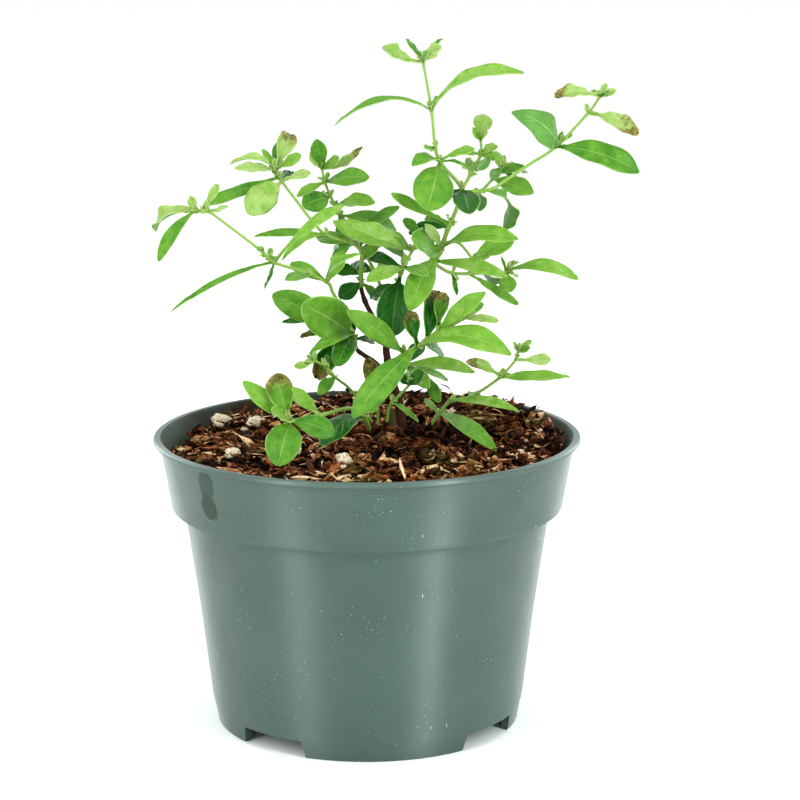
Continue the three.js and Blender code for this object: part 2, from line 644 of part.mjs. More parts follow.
// A thin closed sheet from a grid of points and a normal for each row, its quads split alike on
// both faces.
function sheetSolid(rows, normals) {
  const columns = rows[0].length;
  const layer = rows.length * columns;
  const vertices = [];
  for (const half of [BLADE_THICKNESS / 2, -BLADE_THICKNESS / 2]) {
    rows.forEach((row, index) => {
      row.forEach((point) => vertices.push(point.clone().addScaledVector(normals[index], half)));
    });
  }
  const faces = [];
  for (let row = 0; row < rows.length - 1; row += 1) {
    for (let column = 0; column < columns - 1; column += 1) {
      const near = row * columns + column;
      const far = near + columns;
      faces.push([near, near + 1, far + 1], [near, far + 1, far]);
      faces.push([layer + near, layer + far + 1, layer + near + 1]);
      faces.push([layer + near, layer + far, layer + far + 1]);
    }
  }
  const rim = [];
  for (let column = 0; column < columns - 1; column += 1) {
    rim.push([column, column + 1]);
    rim.push([layer - 1 - column, layer - 2 - column]);
  }
  for (let row = 0; row < rows.length - 1; row += 1) {
    rim.push([(row + 1) * columns, row * columns]);
    rim.push([row * columns + columns - 1, (row + 1) * columns + columns - 1]);
  }
  for (const [from, to] of rim) {
    faces.push([to, from, layer + from], [to, layer + from, layer + to]);
  }
  return solidOf(geometryFrom(vertices, faces));
}

function bladeWidth(form, width, share) {
  const { start, shift, blunt } = FORMS[form];
  if (share <= start) {
    return PETIOLE_WIDTH;
  }
  const spread = ((share - start) / (1 - start)) ** shift;
  return Math.max(TIP_WIDTH, width * Math.sin(Math.PI * spread) ** blunt);
}

// One leaf, from inside its stem to its tip: a petiole, then a blade folded a little at its midrib
// and arched along its length.
function leafSolid(base, [, offset, width, arch, facing, form]) {
  const chord = new THREE.Vector3(...offset);
  const length = chord.length();
  const along = chord.clone().normalize();
  const tilt = THREE.MathUtils.degToRad(facing);
  const normal = new THREE.Vector3(0, -Math.sin(tilt), Math.cos(tilt));
  normal.addScaledVector(along, -normal.dot(along)).normalize();
  const side = along.clone().cross(normal);
  const broad = width >= BROAD_BLADE;
  const { start } = FORMS[form];
  const places = broad ? [0, 0.3, 0.68, 1] : [0.2, 0.62, 1];
  const shares = [0].concat(places.map((share) => start + (1 - start) * share));
  const rows = [];
  const normals = [];
  for (const share of shares) {
    const centre = base.clone().addScaledVector(chord, share)
      .addScaledVector(normal, 4 * arch * share * (1 - share));
    const slope = (4 * arch * (1 - 2 * share)) / length;
    const upright = normal.clone().addScaledVector(along, -slope).normalize();
    const half = bladeWidth(form, width, share) / 2;
    const rise = broad ? MIDRIB_FOLD * (half - TIP_WIDTH / 2) : 0;
    const left = centre.clone().addScaledVector(side, -half).addScaledVector(upright, rise);
    const right = centre.clone().addScaledVector(side, half).addScaledVector(upright, rise);
    rows.push(broad ? [left, centre, right] : [left, right]);
    normals.push(upright);
  }
  return sheetSolid(rows, normals);
}

// ---------------------------------------------------------------- the plant

// A stem that stands in the soil goes straight down into a hole of its own.
function rooted(points, radius) {
  const [surface] = points;
  const root = new THREE.Vector3(surface.x, surface.y, POT_HEIGHT + CROWN_LEVEL - ROOT_DEPTH);
  const neck = new THREE.Vector3(surface.x, surface.y, POT_HEIGHT + CROWN_LEVEL + 1.5);
  holes.push([surface.x, surface.y, radius + HOLE_PLAY]);
  return [root, neck, ...points.slice(1)];
}

function woodyStem() {
  const limbs = WOODY_LIMBS.map(({ route, radii, stands }, index) => {
    let points = route.map(place);
    if (stands) {
      points = rooted(points, radii[0]);
    }
    carriers[`limb_${index}`] = { points, radii, shift: stands ? 1 : 0 };
    return stemSolid(points, radii);
  });
  return union(limbs);
}

function shoot({ name, on: [carrier, at], branches }) {
  const solids = [];
  branches.forEach(({ route, radii, leaves }, index) => {
    let points = route.map(place);
    let shift = 0;
    if (index === 0 && carrier === 'soil') {
      points = rooted(points, radii[0]);
      shift = 1;
    } else if (index === 0) {
      points[0] = leavePoint(carriers[carrier], at, points[1], radii[0]);
    }
    if (index === 0) {
      carriers[name] = { points, radii, shift };
    }
    solids.push(stemSolid(points, radii));
    for (const leaf of leaves) {
      const base = pointAlong(points, leaf[0] + shift);
      solids.push(leafSolid(base, leaf));
    }
  });
  return union(solids);
}

const whole = new THREE.Group();
const plant = new THREE.Group();
plant.add(meshOf('woody_stem', woodyStem(), COLOURS.woody_stem, 0.8));
for (const entry of SHOOTS) {
  plant.add(meshOf(entry.name, shoot(entry), COLOURS.leaf, 0.5));
}
plant.add(meshOf('soil', soilSolid(), COLOURS.soil, 0.95));
plant.add(meshOf('pot', potSolid(), COLOURS.pot, 0.45));
whole.add(plant);

// The origin is the middle of the whole object's box, at the ground.
const reach = new THREE.Box3().setFromObject(plant);
plant.position.set(-(reach.min.x + reach.max.x) / 2, -(reach.min.y + reach.max.y) / 2, 0);

export default whole;
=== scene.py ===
"""A potted mint plant: a satin grey-green nursery pot, bark mix, and a young branching plant.

Sizes are in millimetres unless a name or a comment says otherwise. A point of the plant is
(right, back, up) from the pot's axis at the height of its rim, and place() turns it into metres in
the frame.
"""
import math
import random
from collections import namedtuple

import bmesh
import bpy
from mathutils import Matrix, Vector, noise


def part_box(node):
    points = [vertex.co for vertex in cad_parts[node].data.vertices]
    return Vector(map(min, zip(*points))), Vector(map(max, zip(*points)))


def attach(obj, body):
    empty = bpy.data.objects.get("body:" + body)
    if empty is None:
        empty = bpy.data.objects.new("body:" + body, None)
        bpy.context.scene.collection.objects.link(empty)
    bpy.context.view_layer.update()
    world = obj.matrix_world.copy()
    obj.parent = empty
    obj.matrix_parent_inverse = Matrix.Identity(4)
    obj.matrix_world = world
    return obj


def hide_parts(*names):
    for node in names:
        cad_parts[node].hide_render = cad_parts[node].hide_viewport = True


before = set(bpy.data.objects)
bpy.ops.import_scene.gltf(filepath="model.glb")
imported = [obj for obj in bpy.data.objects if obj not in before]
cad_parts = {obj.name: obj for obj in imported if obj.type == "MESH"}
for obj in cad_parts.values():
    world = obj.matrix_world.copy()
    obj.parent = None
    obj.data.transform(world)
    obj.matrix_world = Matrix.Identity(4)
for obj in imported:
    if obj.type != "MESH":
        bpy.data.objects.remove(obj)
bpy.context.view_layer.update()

MM = 0.001
pot_low, pot_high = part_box("pot")
POT_AXIS = Vector(((pot_low[0] + pot_high[0]) / 2, (pot_low[1] + pot_high[1]) / 2, 0))
RIM_HEIGHT = pot_high[2]
POT_HEIGHT = RIM_HEIGHT / MM
LIP_RADIUS = (pot_high[0] - pot_low[0]) / 2 / MM

# The pot's wall, as outer radii. The collar is as tall as COLLAR_HEIGHT and ends in a ledge under
# it. The waist and the band over the feet are at heights above the ground.
COLLAR_HEIGHT = 25.5
COLLAR_TOP_RADIUS = LIP_RADIUS - 2.2
COLLAR_BOTTOM_RADIUS = LIP_RADIUS - 6.1
COLLAR_SLOPE = (COLLAR_TOP_RADIUS - COLLAR_BOTTOM_RADIUS) / COLLAR_HEIGHT
LEDGE_HEIGHT = POT_HEIGHT - COLLAR_HEIGHT
BODY_TOP_RADIUS = LIP_RADIUS - 10.7
WAIST_RADIUS = 60.3
WAIST_HEIGHT = 42.2
BAND_RADIUS = 55.9
BAND_HEIGHT = 7.9
BASE_RADIUS = LIP_RADIUS - 21.75
WALL = 1.3
LIP_THICKNESS = 1.8
FLOOR_RADIUS = 53.2
FLOOR_UNDERSIDE = 6.6
FLOOR_TOP = FLOOR_UNDERSIDE + 1.4
FOOT_WIDTH = 2.6
FEET = 4
# The gaps between the feet, which widen downwards, with their angles in degrees round the pot.
FOOT_GAP_HEIGHT = 6.2
FOOT_GAP_ANGLE = 27
FOOT_GAP_FLARE = 1.2
FOOT_GAP_DEPTH = 14
FIRST_FOOT_GAP = 52
DRAIN_HOLE_RADIUS = 5
DRAIN_HOLE_CIRCLE = 42
POT_FACETS = 180

# A drop that water left on the collar: its azimuth in degrees from the front, less than 0 to the
# left, its fall from the rim, its half width and half height, and how strongly it shows.
Drop = namedtuple("Drop", "azimuth fall width height strength")
DAMP_RUN = [Drop(-48.4, 6.9, 4.0, 5.6, 0.6), Drop(-48.7, 14.9, 4.2, 4.9, 1.0)]

# The top of the bark mix. It has a ridge just right of the axis, drops to the pot's sides, rises at
# the back, and is heaped against the wall round an azimuth that is counted from the right towards
# the back. Levels are against the rim.
RIDGE_LEVEL = -2.2
RIDGE_RIGHT = 4
SIDE_DROP = 5
BACK_RISE = 2.2
HEAP_AZIMUTH = math.radians(25)
HEAP_HALF_ANGLE = math.radians(24)
HEAP_DEPTH = 15
HEAP_HEIGHT = 7.2
# How far the dug-over surface heaves, and how much deeper the fines lie than the shards on them.
GROUND_RELIEF = 2.5
FINES_SUNK = 2.6
SOIL_FACETS = 150
SOIL_RINGS = 70

# A sort of bark shard: how many, their lengths, widths and thicknesses, how far from the axis they
# may lie, and how far over or under the ground.
Shards = namedtuple("Shards", "count lengths widths thicknesses reach lifts")
CHIPS = Shards(1290, (3, 7.5), (1.3, 3.4), (0.9, 2.4), 68.5, (-1.5, 1.2))
SLIVERS = Shards(480, (7, 17), (1.6, 4.6), (1.0, 2.6), 67.5, (-1.0, 1.5))
FIBRES = Shards(780, (4, 13), (0.4, 1.0), (0.4, 0.8), 67, (0.2, 2.1))
CRUMBS = Shards(2700, (1.0, 3.4), (0.6, 2.4), (0.6, 1.7), 70.5, (-1.2, 0.9))
SHARD_BATCHES = 30
# A shard that would reach further from the axis than this is turned along the wall.
WALL_CLEARANCE = 70
# How much a shard bends, as a share of its length. One narrower than THIN_SHARD is a fibre.
THIN_SHARD = 1.1
FIBRE_BEND = 0.3
CHIP_BEND = 0.12
# Three colours of bark, black with damp, fresh red-brown, and dry and tan: the share of shards that
# each and those before it make up, and how light its shards are, from 0 to 1.
BARK_TONES = [(0.34, (0.0, 0.18)), (0.84, (0.3, 0.62)), (1.0, (0.7, 1.0))]
# The share of its lightness that a shard loses, as painted shade, for each millimetre that it lies
# deep, and what it keeps at the least. Then what it loses in the middle of a darker patch, which is
# round a point (right, back), and how far that patch reaches.
PAINTED_DEPTH_SHADE = 0.32
LEAST_KEPT_IN_SHADE = 0.15
DARK_PATCH_LOSS = 0.45
DARK_PATCH_CENTRE = Vector((22, 2))
DARK_PATCH_REACH = 20

# The perlite: its big lumps as (right, back, radius), and the small ones, as far from the axis as
# PERLITE_REACH.
BIG_PERLITE = [(-54, 35, 3.3), (-41.5, 28, 2.5), (-34.5, 37, 1.3), (-42.5, 4, 1.8), (-47, -17, 2.4),
               (-8, -40, 2.7), (31, 36, 1.4), (46, -12, 1.2), (12, 52, 1.8), (-22, 60, 1.5)]
SMALL_PERLITE = 34
PERLITE_REACH = 64

# Blades and stems.
BLADE_COLUMNS = 8
BLADE_ROWS = 24
BLADE_THICKNESS = 0.32
PETIOLE_WIDTH = 1.15
TIP_WIDTH = 0.15
BUD_LENGTHS = (1.8, 4.4)
TUFT_LENGTHS = (2.6, 7)
# About a turn in radians, for a blade's waves and the buds round a joint.
ROUGH_TURN = 6.28
STEM_SIDES = 10
WOODY_SIDES = 14
STEPS_PER_JOINT = 7
# A stem swells by this share of its radius at a leaf joint, over this many steps each way.
JOINT_SWELLING = 0.22
JOINT_REACH = 1.1
# A shoot's age goes by its radius: 0, new and green, up to the first, and 1 from the second on. The
# woody limbs and the stump are of one age each.
NEW_RADIUS = 0.55
OLD_RADIUS = 1.65
WOODY_AGE = 0.85
STUMP_AGE = 0.1

# A leaf form: where the blade starts along the leaf, how slowly it widens from there, and how
# slowly it narrows to its tip. A small last number gives a blunt, round tip.
FORMS = {
    "oval": (0.05, 1.35, 0.66),
    "spoon": (0.22, 1.5, 0.56),
    "lance": (0.04, 1.05, 0.85),
    "round": (0.12, 1.15, 0.5),
    "heart": (0.04, 0.7, 0.72),
}

# How light each tone of leaf is, from a deep green to a pale new leaf. The deep green is an old
# leaf's own, and is also painted as shade on leaves that lie under others.
TONES = {"deep": 0.0, "olive": 0.32, "fresh": 0.52, "bright": 0.74, "pale": 0.95}
# Painted shade: each degree that a leaf hangs past the first number, up to facing the viewer, paints
# its green deeper by the second.
FACING_SHADE_START = 50
FACING_SHADE_PER_DEGREE = 0.0055

# How dead each kind of leaf is, and from what share of its length on.
DEAD_PARTS = {"sound": (0.2, 0.6), "curled": (0.4, 0.6), "tipped": (1.1, 0.66),
              "browned": (0.95, 0.45)}

# A stem's route with its radius at each end, and its leaves. A leaf is its place along the route,
# counted in the route's points, its tip's offset, its width, its arch, its facing in degrees from up
# (0) by way of the viewer (90) to down (180) and on, its tone, its form and its state.
Branch = namedtuple("Branch", "route radii leaves", defaults=((),))
Leaf = namedtuple("Leaf", "at reach width arch facing tone form state", defaults=("oval", "sound"))

WOODY_LIMBS = [
    Branch([(13, 15, -12), (13, 15, -3), (11, 14, 10), (9, 13, 17), (7, 13, 27), (8, 14, 38),
            (12, 16, 47), (14, 16, 50)], (1.75, 0.9)),
    Branch([(9, 13, 17), (3, 8, 24), (-3, 5, 29), (-4, 4, 31)], (1.0, 0.72)),
    Branch([(7, 13, 33), (2, 15, 40), (-1, 16, 46), (-2, 16, 50)], (1.0, 0.75)),
]
STUMP = Branch([(10, 15, -12), (10, 15, -3), (9, 15, 5)], (2.1, 1.6))

# The leafy shoots by their nodes' names.
SHOOTS = {
    "leader": [
        Branch([(14, 16, 49), (25, 13, 62), (29, 12, 72), (32, 12, 79), (34, 12, 86), (26, 11, 96),
                (24, 10, 104), (23, 10, 114), (20, 9, 131)], (0.95, 0.42), [
            Leaf(8, (-14, -5, 6), 5.5, -2, 40, "pale", "spoon", "curled"),
            Leaf(8, (6, -7, 6), 5.5, 1, 60, "pale", "spoon"),
            Leaf(8, (-6, 5, 8), 2.5, 1, 20, "fresh"),
            Leaf(8, (7, 5, 8), 2, 1.5, 20, "fresh"),
            Leaf(7, (-34, -10, -4), 4, 8, 25, "fresh", "lance"),
            Leaf(7, (32, -8, 14), 6.5, 8, 30, "bright"),
            Leaf(7, (2, 4, 5), 2, 0, 30, "bright"),
            Leaf(5.6, (-4, -6, 1), 3.5, 0, 50, "bright"),
            Leaf(5, (-10, -11, 0), 5.5, 2, 30, "fresh"),
            Leaf(5, (12, -5, 5), 4, 1, 40, "bright", "spoon"),
            Leaf(5, (12, 5, -6), 2, 3, 30, "fresh", "lance"),
            Leaf(5, (-5, -16, -15), 14.5, 1, 80, "bright", "round"),
            Leaf(4, (2, -20, -6), 9.5, 1, 45, "deep", "round"),
            Leaf(4, (-8, 8, -7), 5.5, 1, 45, "deep"),
            Leaf(2.2, (-21, -8, 12), 4.5, 0, 60, "bright", "spoon"),
            Leaf(2, (-8, 6, 3), 5, 1, 50, "fresh"),
            Leaf(2, (-14, 0, -2), 4.5, 3, 40, "deep"),
            Leaf(1.3, (-6, -15, 10), 4, 0, 80, "pale"),
            Leaf(1.1, (-10, -19, 8), 10, 1, 60, "fresh", "round"),
            Leaf(1.2, (27, -15, 6), 7.5, 5, 40, "bright"),
            Leaf(1, (-10, -31, -14), 10, 2, 75, "bright"),
            Leaf(0.8, (26, -20, -2), 6, 2, 45, "bright"),
        ]),
        Branch([(27, 12, 67), (33, 17, 66), (38, 20, 60)], (0.6, 0.5), [
            Leaf(2, (15, 2, 6), 7.5, 1, 60, "bright"),
        ]),
    ],
    "right_mid": [
        Branch([(24, 15, 59), (31, 24, 54), (41, 30, 53), (51, 32, 53)], (0.72, 0.5), [
            Leaf(3, (26, -4, -2), 5.5, 6, 45, "bright"),
            Leaf(3, (1, -8, -6), 6.5, 0, 60, "bright"),
            Leaf(3, (-2, -2, 6), 1, 0, 60, "fresh"),
            Leaf(3, (5, 6, 3), 1, 1, 40, "fresh"),
            Leaf(1.6, (19, 8, -13), 4, 1, 45, "fresh"),
            Leaf(1, (2, 4, -9), 2, 0, 45, "olive", "lance"),
            Leaf(2, (5, 12, -6), 10.5, 1, 40, "fresh"),
        ]),
    ],
    "back_right": [
        Branch([(34, 12, 86), (37, 20, 90), (41, 24, 97), (41, 25, 102)], (0.65, 0.42), [
            Leaf(3, (1, 3, 9), 7, 0, 85, "pale", "spoon"),
            Leaf(3, (-3, -5, 5), 3, 0, 60, "bright"),
            Leaf(2, (-8, 6, 1), 2.5, 0, 40, "bright", "lance"),
            Leaf(2, (6, -2, 3), 4, 1, 40, "bright"),
            Leaf(1.5, (4, -10, 1), 7.5, 1, 60, "fresh", "round"),
            Leaf(1.2, (-2, 11, 0), 4, 1, 50, "fresh"),
            Leaf(1.9, (8, -8, 0), 4, 1, 50, "bright"),
            Leaf(1, (0, 12, 5), 3, 1, 50, "bright"),
        ]),
    ],
    "right_back_spray": [
        Branch([(34, 12, 84), (40, 24, 83), (46, 34, 87), (49, 38, 90)], (0.65, 0.42), [
            Leaf(3, (5, 4, 1), 3.5, 1, 50, "bright"),
            Leaf(3, (-4, -16, -2), 4, 1, 60, "fresh"),
            Leaf(3, (11, 14, -3), 5.5, 1, 30, "deep", "lance"),
            Leaf(3, (10, 8, -7), 3.5, 0, 40, "deep", "lance"),
            Leaf(3, (-1, 8, 3), 3, 1, 50, "fresh"),
            Leaf(2, (14, -10, -4), 7.5, 1, 60, "bright"),
            Leaf(1, (1, 12, -8), 5.5, 2, 45, "fresh"),
            Leaf(2.4, (10, -2, 3), 4, 1, 45, "fresh"),
        ]),
    ],
    "right_branch": [
        Branch([(34, 12, 85), (44, 12, 86), (49, 12, 89), (58, 12, 95), (67, 12, 101), (78, 10, 113),
                (82, 8, 119)], (0.66, 0.42), [
            Leaf(6, (-16, -6, 1), 5, 2, 50, "pale", "spoon", "tipped"),
            Leaf(6, (-2, 6, 2), 2, 0, 50, "bright"),
            Leaf(6, (3, -4, 2), 2.5, 0, 50, "fresh"),
            Leaf(5, (17, -8, -6), 5.5, 3, 60, "pale", "spoon", "browned"),
            Leaf(0.7, (8, 14, -16), 10, 6, 35, "fresh"),
            Leaf(4, (-16, -6, 13), 11.5, -6, 230, "bright", "heart"),
            Leaf(4, (29, -8, -8), 10.5, 5, 50, "fresh"),
            Leaf(4, (3, 6, 5), 1.5, 0, 50, "fresh"),
            Leaf(4.2, (4, 6, 2), 1.5, 0, 50, "fresh"),
        ]),
    ],
    "centre": [
        Branch([(11, 10, 44), (11, 6, 53), (13, 4, 59), (16, 5, 65), (18, 8, 70)], (0.74, 0.45), [
            Leaf(1.5, (-3, -9, -20), 12.5, 2, 75, "deep", "round"),
            Leaf(2, (-13, -10, -3), 6.5, 2, 45, "bright"),
            Leaf(3, (-21, -13, 11), 7, 2, 45, "bright"),
            Leaf(3, (-28, 13, 9), 8.5, 1, 45, "bright"),
            Leaf(4, (-5, 0, 6), 4, 1, 50, "fresh"),
            Leaf(2, (8, -16, 0), 5.5, 1, 50, "fresh"),
            Leaf(3, (-8, 15, 5), 4.5, 1, 45, "fresh"),
            Leaf(2, (-13, 14, 3), 5, 1, 45, "deep"),
            Leaf(2.4, (-8, 22, 3), 4.5, 1, 45, "fresh"),
            Leaf(1, (-10, 6, -6), 5, 1, 50, "deep"),
        ]),
    ],
    "front_right": [
        Branch([(8, 12, 22), (13, 0, 29), (18, -8, 33), (25, -10, 39), (29, -12, 41),
                (34, -13, 44)], (0.8, 0.5), [
            Leaf(1, (-20, -20, 19), 8, 3, 65, "bright"),
            Leaf(2, (-23, -34, -18), 10, 3, 60, "fresh"),
            Leaf(2, (32, -16, 0), 10, 7, 40, "bright"),
            Leaf(2, (-3, 2, 12), 5.5, 1, 80, "olive", "spoon", "browned"),
            Leaf(2.4, (4, 11, 16), 7.5, 2, 75, "deep", "oval", "browned"),
            Leaf(2.2, (8, 12, -7), 5.5, 1, 50, "olive"),
            Leaf(3, (16, -8, 15), 6.5, 2, 60, "bright"),
            Leaf(3, (2, 4, 13), 5, 0, 80, "fresh", "spoon", "browned"),
            Leaf(5, (12, -1, -1), 3, 1, 50, "pale"),
            Leaf(5, (2, -3, 5), 1.5, 0, 50, "bright", "lance"),
            Leaf(4.6, (9, 9, 5), 3.5, 1, 50, "fresh"),
        ]),
    ],
    "right_low": [
        Branch([(9, 14, 17), (13, 22, 20), (19, 26, 18)], (0.65, 0.5), [
            Leaf(1, (26, -6, -1), 6, 3, 45, "bright"),
            Leaf(2, (7, -16, -9), 4.5, 1, 60, "fresh", "spoon"),
            Leaf(2, (11, 8, -6), 4, 1, 40, "fresh", "lance"),
            Leaf(1, (8, 12, 6), 5.5, 1, 55, "deep"),
            Leaf(1.2, (8, -15, -5), 6, 1, 50, "bright"),
        ]),
    ],
    "crown_right": [
        Branch([(7, 6, 3), (8, 3, 9), (11, 1, 13), (15, -2, 18)], (0.62, 0.45), [
            Leaf(3, (5, -8, 6), 5.5, 1, 60, "olive"),
            Leaf(3, (-3, -2, 4), 3.5, 0, 60, "olive"),
            Leaf(1.4, (9, -14, -4), 2, 1, 40, "fresh", "lance"),
        ]),
    ],
    "crown_left": [
        Branch([(4, 10, 0), (4, 8, 5), (4, 7, 9)], (0.6, 0.45), [
            Leaf(2, (2, -3, 4), 3, 0, 60, "bright"),
            Leaf(2, (-5, -9, -1), 5, 1, 50, "bright"),
            Leaf(2, (-4, -7, 18), 6, 1, 70, "olive", "spoon", "browned"),
        ]),
    ],
    "front_left_low": [
        Branch([(1, 4, 0), (-1, -6, 7), (-6, -18, 13), (-16, -34, 14), (-26, -43, 14)], (0.82, 0.6), [
            Leaf(4, (-4, -15, -12), 12, 2, 60, "fresh", "round"),
            Leaf(1, (-15, -28, -4), 9.5, 4, 40, "deep"),
            Leaf(4, (15, -3, -4), 8, 2, 55, "fresh"),
            Leaf(4, (-5, 1, 16), 9, 1, 80, "bright", "spoon", "browned"),
            Leaf(4, (-16, -1, 14), 6, 1, 65, "bright"),
            Leaf(4, (-6, -11, 6), 6, 0, 50, "bright"),
            Leaf(3, (-11, 10, 8), 5.5, 1, 60, "bright"),
        ]),
    ],
    "right_low_spray": [
        Branch([(22, 16, -2), (26, 14, 4), (30, 12, 9), (37, 10, 11), (45, 6, 17), (49, 4, 21),
                (53, 3, 26), (54, 3, 29)], (0.75, 0.42), [
            Leaf(1, (19, -38, -5), 6.5, 4, 45, "fresh"),
            Leaf(2, (24, -16, 0), 4.5, 2, 40, "bright", "lance"),
            Leaf(4.5, (25, -9, 2), 5, 2, 45, "bright", "lance"),
            Leaf(4.6, (-12, -11, 8), 4, 1, 55, "pale", "spoon", "browned"),
            Leaf(7, (-1, 5, 1), 1.5, 0, 50, "bright"),
            Leaf(7, (4, -3, 2), 2.5, 0, 60, "bright"),
            Leaf(6, (13, 7, -1), 4.5, 1, 70, "pale", "spoon"),
            Leaf(3, (4, 14, -3), 6, 1, 40, "fresh"),
            Leaf(1, (-5, 12, 3), 2.5, 1, 50, "bright", "lance"),
        ]),
    ],
    "left_low_thin": [
        Branch([(3, 22, -3), (-2, 10, 8), (-6, -4, 17), (-11, -13, 23), (-14, -16, 27),
                (-18, -18, 30)], (0.6, 0.42), [
            Leaf(5, (-7, -6, -1), 3, 0, 50, "bright", "spoon"),
            Leaf(5, (-1, 6, 2), 2, 0, 60, "bright"),
            Leaf(3, (-6, -9, -4), 4.5, 1, 60, "fresh"),
            Leaf(4, (0, 10, 3), 2, 0, 60, "fresh", "lance"),
        ]),
    ],
    "left_branch": [
        Branch([(-4, 4, 32), (-5, 3, 35), (-8, 2, 43), (-12, 0, 51), (-14, -2, 55), (-23, -8, 60),
                (-32, -14, 64), (-36, -16, 68), (-50, -22, 80), (-54, -24, 83),
                (-58, -25, 84)], (0.74, 0.42), [
            Leaf(10, (-13, -5, -17), 4.5, 4, 50, "fresh"),
            Leaf(10, (-15, 9, -8), 6, 3, 40, "pale", "oval", "curled"),
            Leaf(10, (-3, 3, 3), 2, 0, 50, "bright"),
            Leaf(9.5, (5, 8, 8), 3, 0, 70, "pale", "spoon"),
            Leaf(9, (7, -8, 3), 2.5, 0, 50, "pale"),
            Leaf(6, (-35, -20, -14), 2.5, 4, 45, "fresh", "lance"),
            Leaf(6, (24, 8, 19), 4.5, 4, 45, "bright", "spoon"),
            Leaf(6, (-4, 10, -11), 2, 0, 20, "fresh", "lance"),
            Leaf(6.4, (0, 7, 3), 2, 0, 60, "bright"),
            Leaf(7, (-1, -10, 2), 2, 0, 60, "fresh"),
            Leaf(4, (-13, 4, 6), 5.5, 1, 45, "fresh"),
            Leaf(4.6, (-9, -16, 1), 4.5, 1, 45, "fresh"),
            Leaf(4, (6, 8, 10), 5, 0, 70, "bright"),
            Leaf(4, (12, -6, 11), 3.5, 4, 40, "bright", "lance"),
            Leaf(1, (-17, -27, 16), 15, 2, 75, "bright", "round"),
            Leaf(1, (-28, -13, 17), 10, 2, 70, "bright", "spoon"),
            Leaf(2, (-22, -6, -2), 3.5, 1, 50, "olive"),
            Leaf(2, (2, 8, -9), 4.5, 1, 55, "deep"),
            Leaf(1.6, (-17, -4, -4), 2.5, 0, 50, "olive", "spoon", "browned"),
            Leaf(1, (-15, -23, -2), 5, 4, 50, "fresh", "lance"),
            Leaf(1, (-13, 1, -16), 7.5, 3, 60, "deep", "oval", "browned"),
            Leaf(0.6, (-6, -19, -6), 8, 3, 60, "olive", "round"),
            Leaf(0.6, (7, 9, -3), 3.5, 1, 50, "deep"),
        ]),
    ],
    "upper_left": [
        Branch([(-2, 16, 50), (-2, 16, 56), (-2, 16, 63), (-5, 16, 66), (-14, 15, 69), (-19, 14, 74),
                (-25, 13, 82), (-30, 12, 89), (-32, 12, 93)], (0.78, 0.42), [
            Leaf(8, (-16, -4, 3), 3, 4, 40, "pale", "lance", "curled"),
            Leaf(8, (-14, -12, 2), 4.5, 1, 55, "pale"),
            Leaf(8, (5, 6, 12), 6.5, 2, 85, "pale", "spoon", "browned"),
            Leaf(8, (1, 12, 9), 4.5, 0, 80, "fresh"),
            Leaf(8, (9, -6, 6), 4.5, 1, 65, "bright", "spoon"),
            Leaf(7, (-12, -14, -9), 10.5, 1, 80, "pale", "round"),
            Leaf(7.3, (-27, -6, -9), 5.5, 1, 50, "fresh"),
            Leaf(7, (3, 12, 2), 5, 0, 70, "deep"),
            Leaf(7, (10, 2, 3), 3.5, 1, 60, "pale", "spoon"),
            Leaf(8, (-5, 4, 7), 2.5, 0, 60, "bright"),
            Leaf(4, (-26, -7, 1), 3.5, 2, 45, "fresh", "lance"),
            Leaf(4, (-16, -11, -7), 3.5, 5, 35, "bright", "lance"),
            Leaf(3, (-8, 4, -7), 5, 1, 50, "fresh"),
            Leaf(1.5, (6, -5, 6), 5, 1, 50, "fresh"),
            Leaf(2, (8, 8, 3), 5, 1, 50, "deep"),
            Leaf(0.8, (-10, 4, 1), 5.5, 1, 50, "deep"),
            Leaf(0.3, (-8, -2, -5), 6.5, 1, 60, "deep"),
            Leaf(3, (-13, 10, 1), 6, 1, 50, "fresh"),
            Leaf(2.5, (6, 8, 6), 4.5, 1, 50, "deep"),
            Leaf(0.3, (6, 4, -7), 4, 1, 50, "fresh"),
        ]),
    ],
    "back_left": [
        Branch([(8, 16, 41), (3, 26, 54), (-4, 30, 66), (-11, 31, 77), (-15, 31, 86),
                (-16, 31, 91)], (0.68, 0.42), [
            Leaf(5, (-2, -2, 11), 6, 0, 85, "bright"),
            Leaf(5, (6, -9, 5), 5, 0, 60, "bright"),
            Leaf(5, (-4, 5, 6), 3.5, 0, 50, "fresh"),
            Leaf(5, (14, -7, 9), 3.5, -3, 50, "pale", "lance", "browned"),
            Leaf(4, (16, -11, 3), 8, 2, 45, "fresh"),
            Leaf(4, (-10, -7, -4), 3.5, 1, 45, "bright"),
            Leaf(3.4, (-10, -9, -2), 8.5, 1, 60, "fresh", "round"),
            Leaf(3, (14, -11, 3), 6, 2, 50, "bright"),
            Leaf(2, (16, 4, 11), 5, 1, 50, "fresh"),
            Leaf(2, (-8, 10, -5), 6.5, 1, 50, "fresh"),
            Leaf(2.7, (20, 5, -6), 10, 2, 35, "fresh"),
            Leaf(1, (-9, 10, 1), 5.5, 1, 55, "deep"),
            Leaf(1, (7, 12, 2), 5, 1, 50, "fresh"),
            Leaf(2.8, (2, -9, -13), 5.5, 1, 70, "fresh"),
        ]),
    ],
}


# ---------------------------------------------------------------- small tools

def place(point):
    """A plant point in millimetres round the pot's axis, as metres in the frame."""
    right, back, up = point
    return Vector((POT_AXIS.x + right * MM, POT_AXIS.y + back * MM, RIM_HEIGHT + up * MM))


def linear(hex_colour):
    """An sRGB hex colour as linear red, green, blue and alpha."""
    values = [int(hex_colour[at:at + 2], 16) / 255 for at in (1, 3, 5)]
    turned = [value / 12.92 if value <= 0.04045 else ((value + 0.055) / 1.055) ** 2.4
              for value in values]
    return (*turned, 1.0)


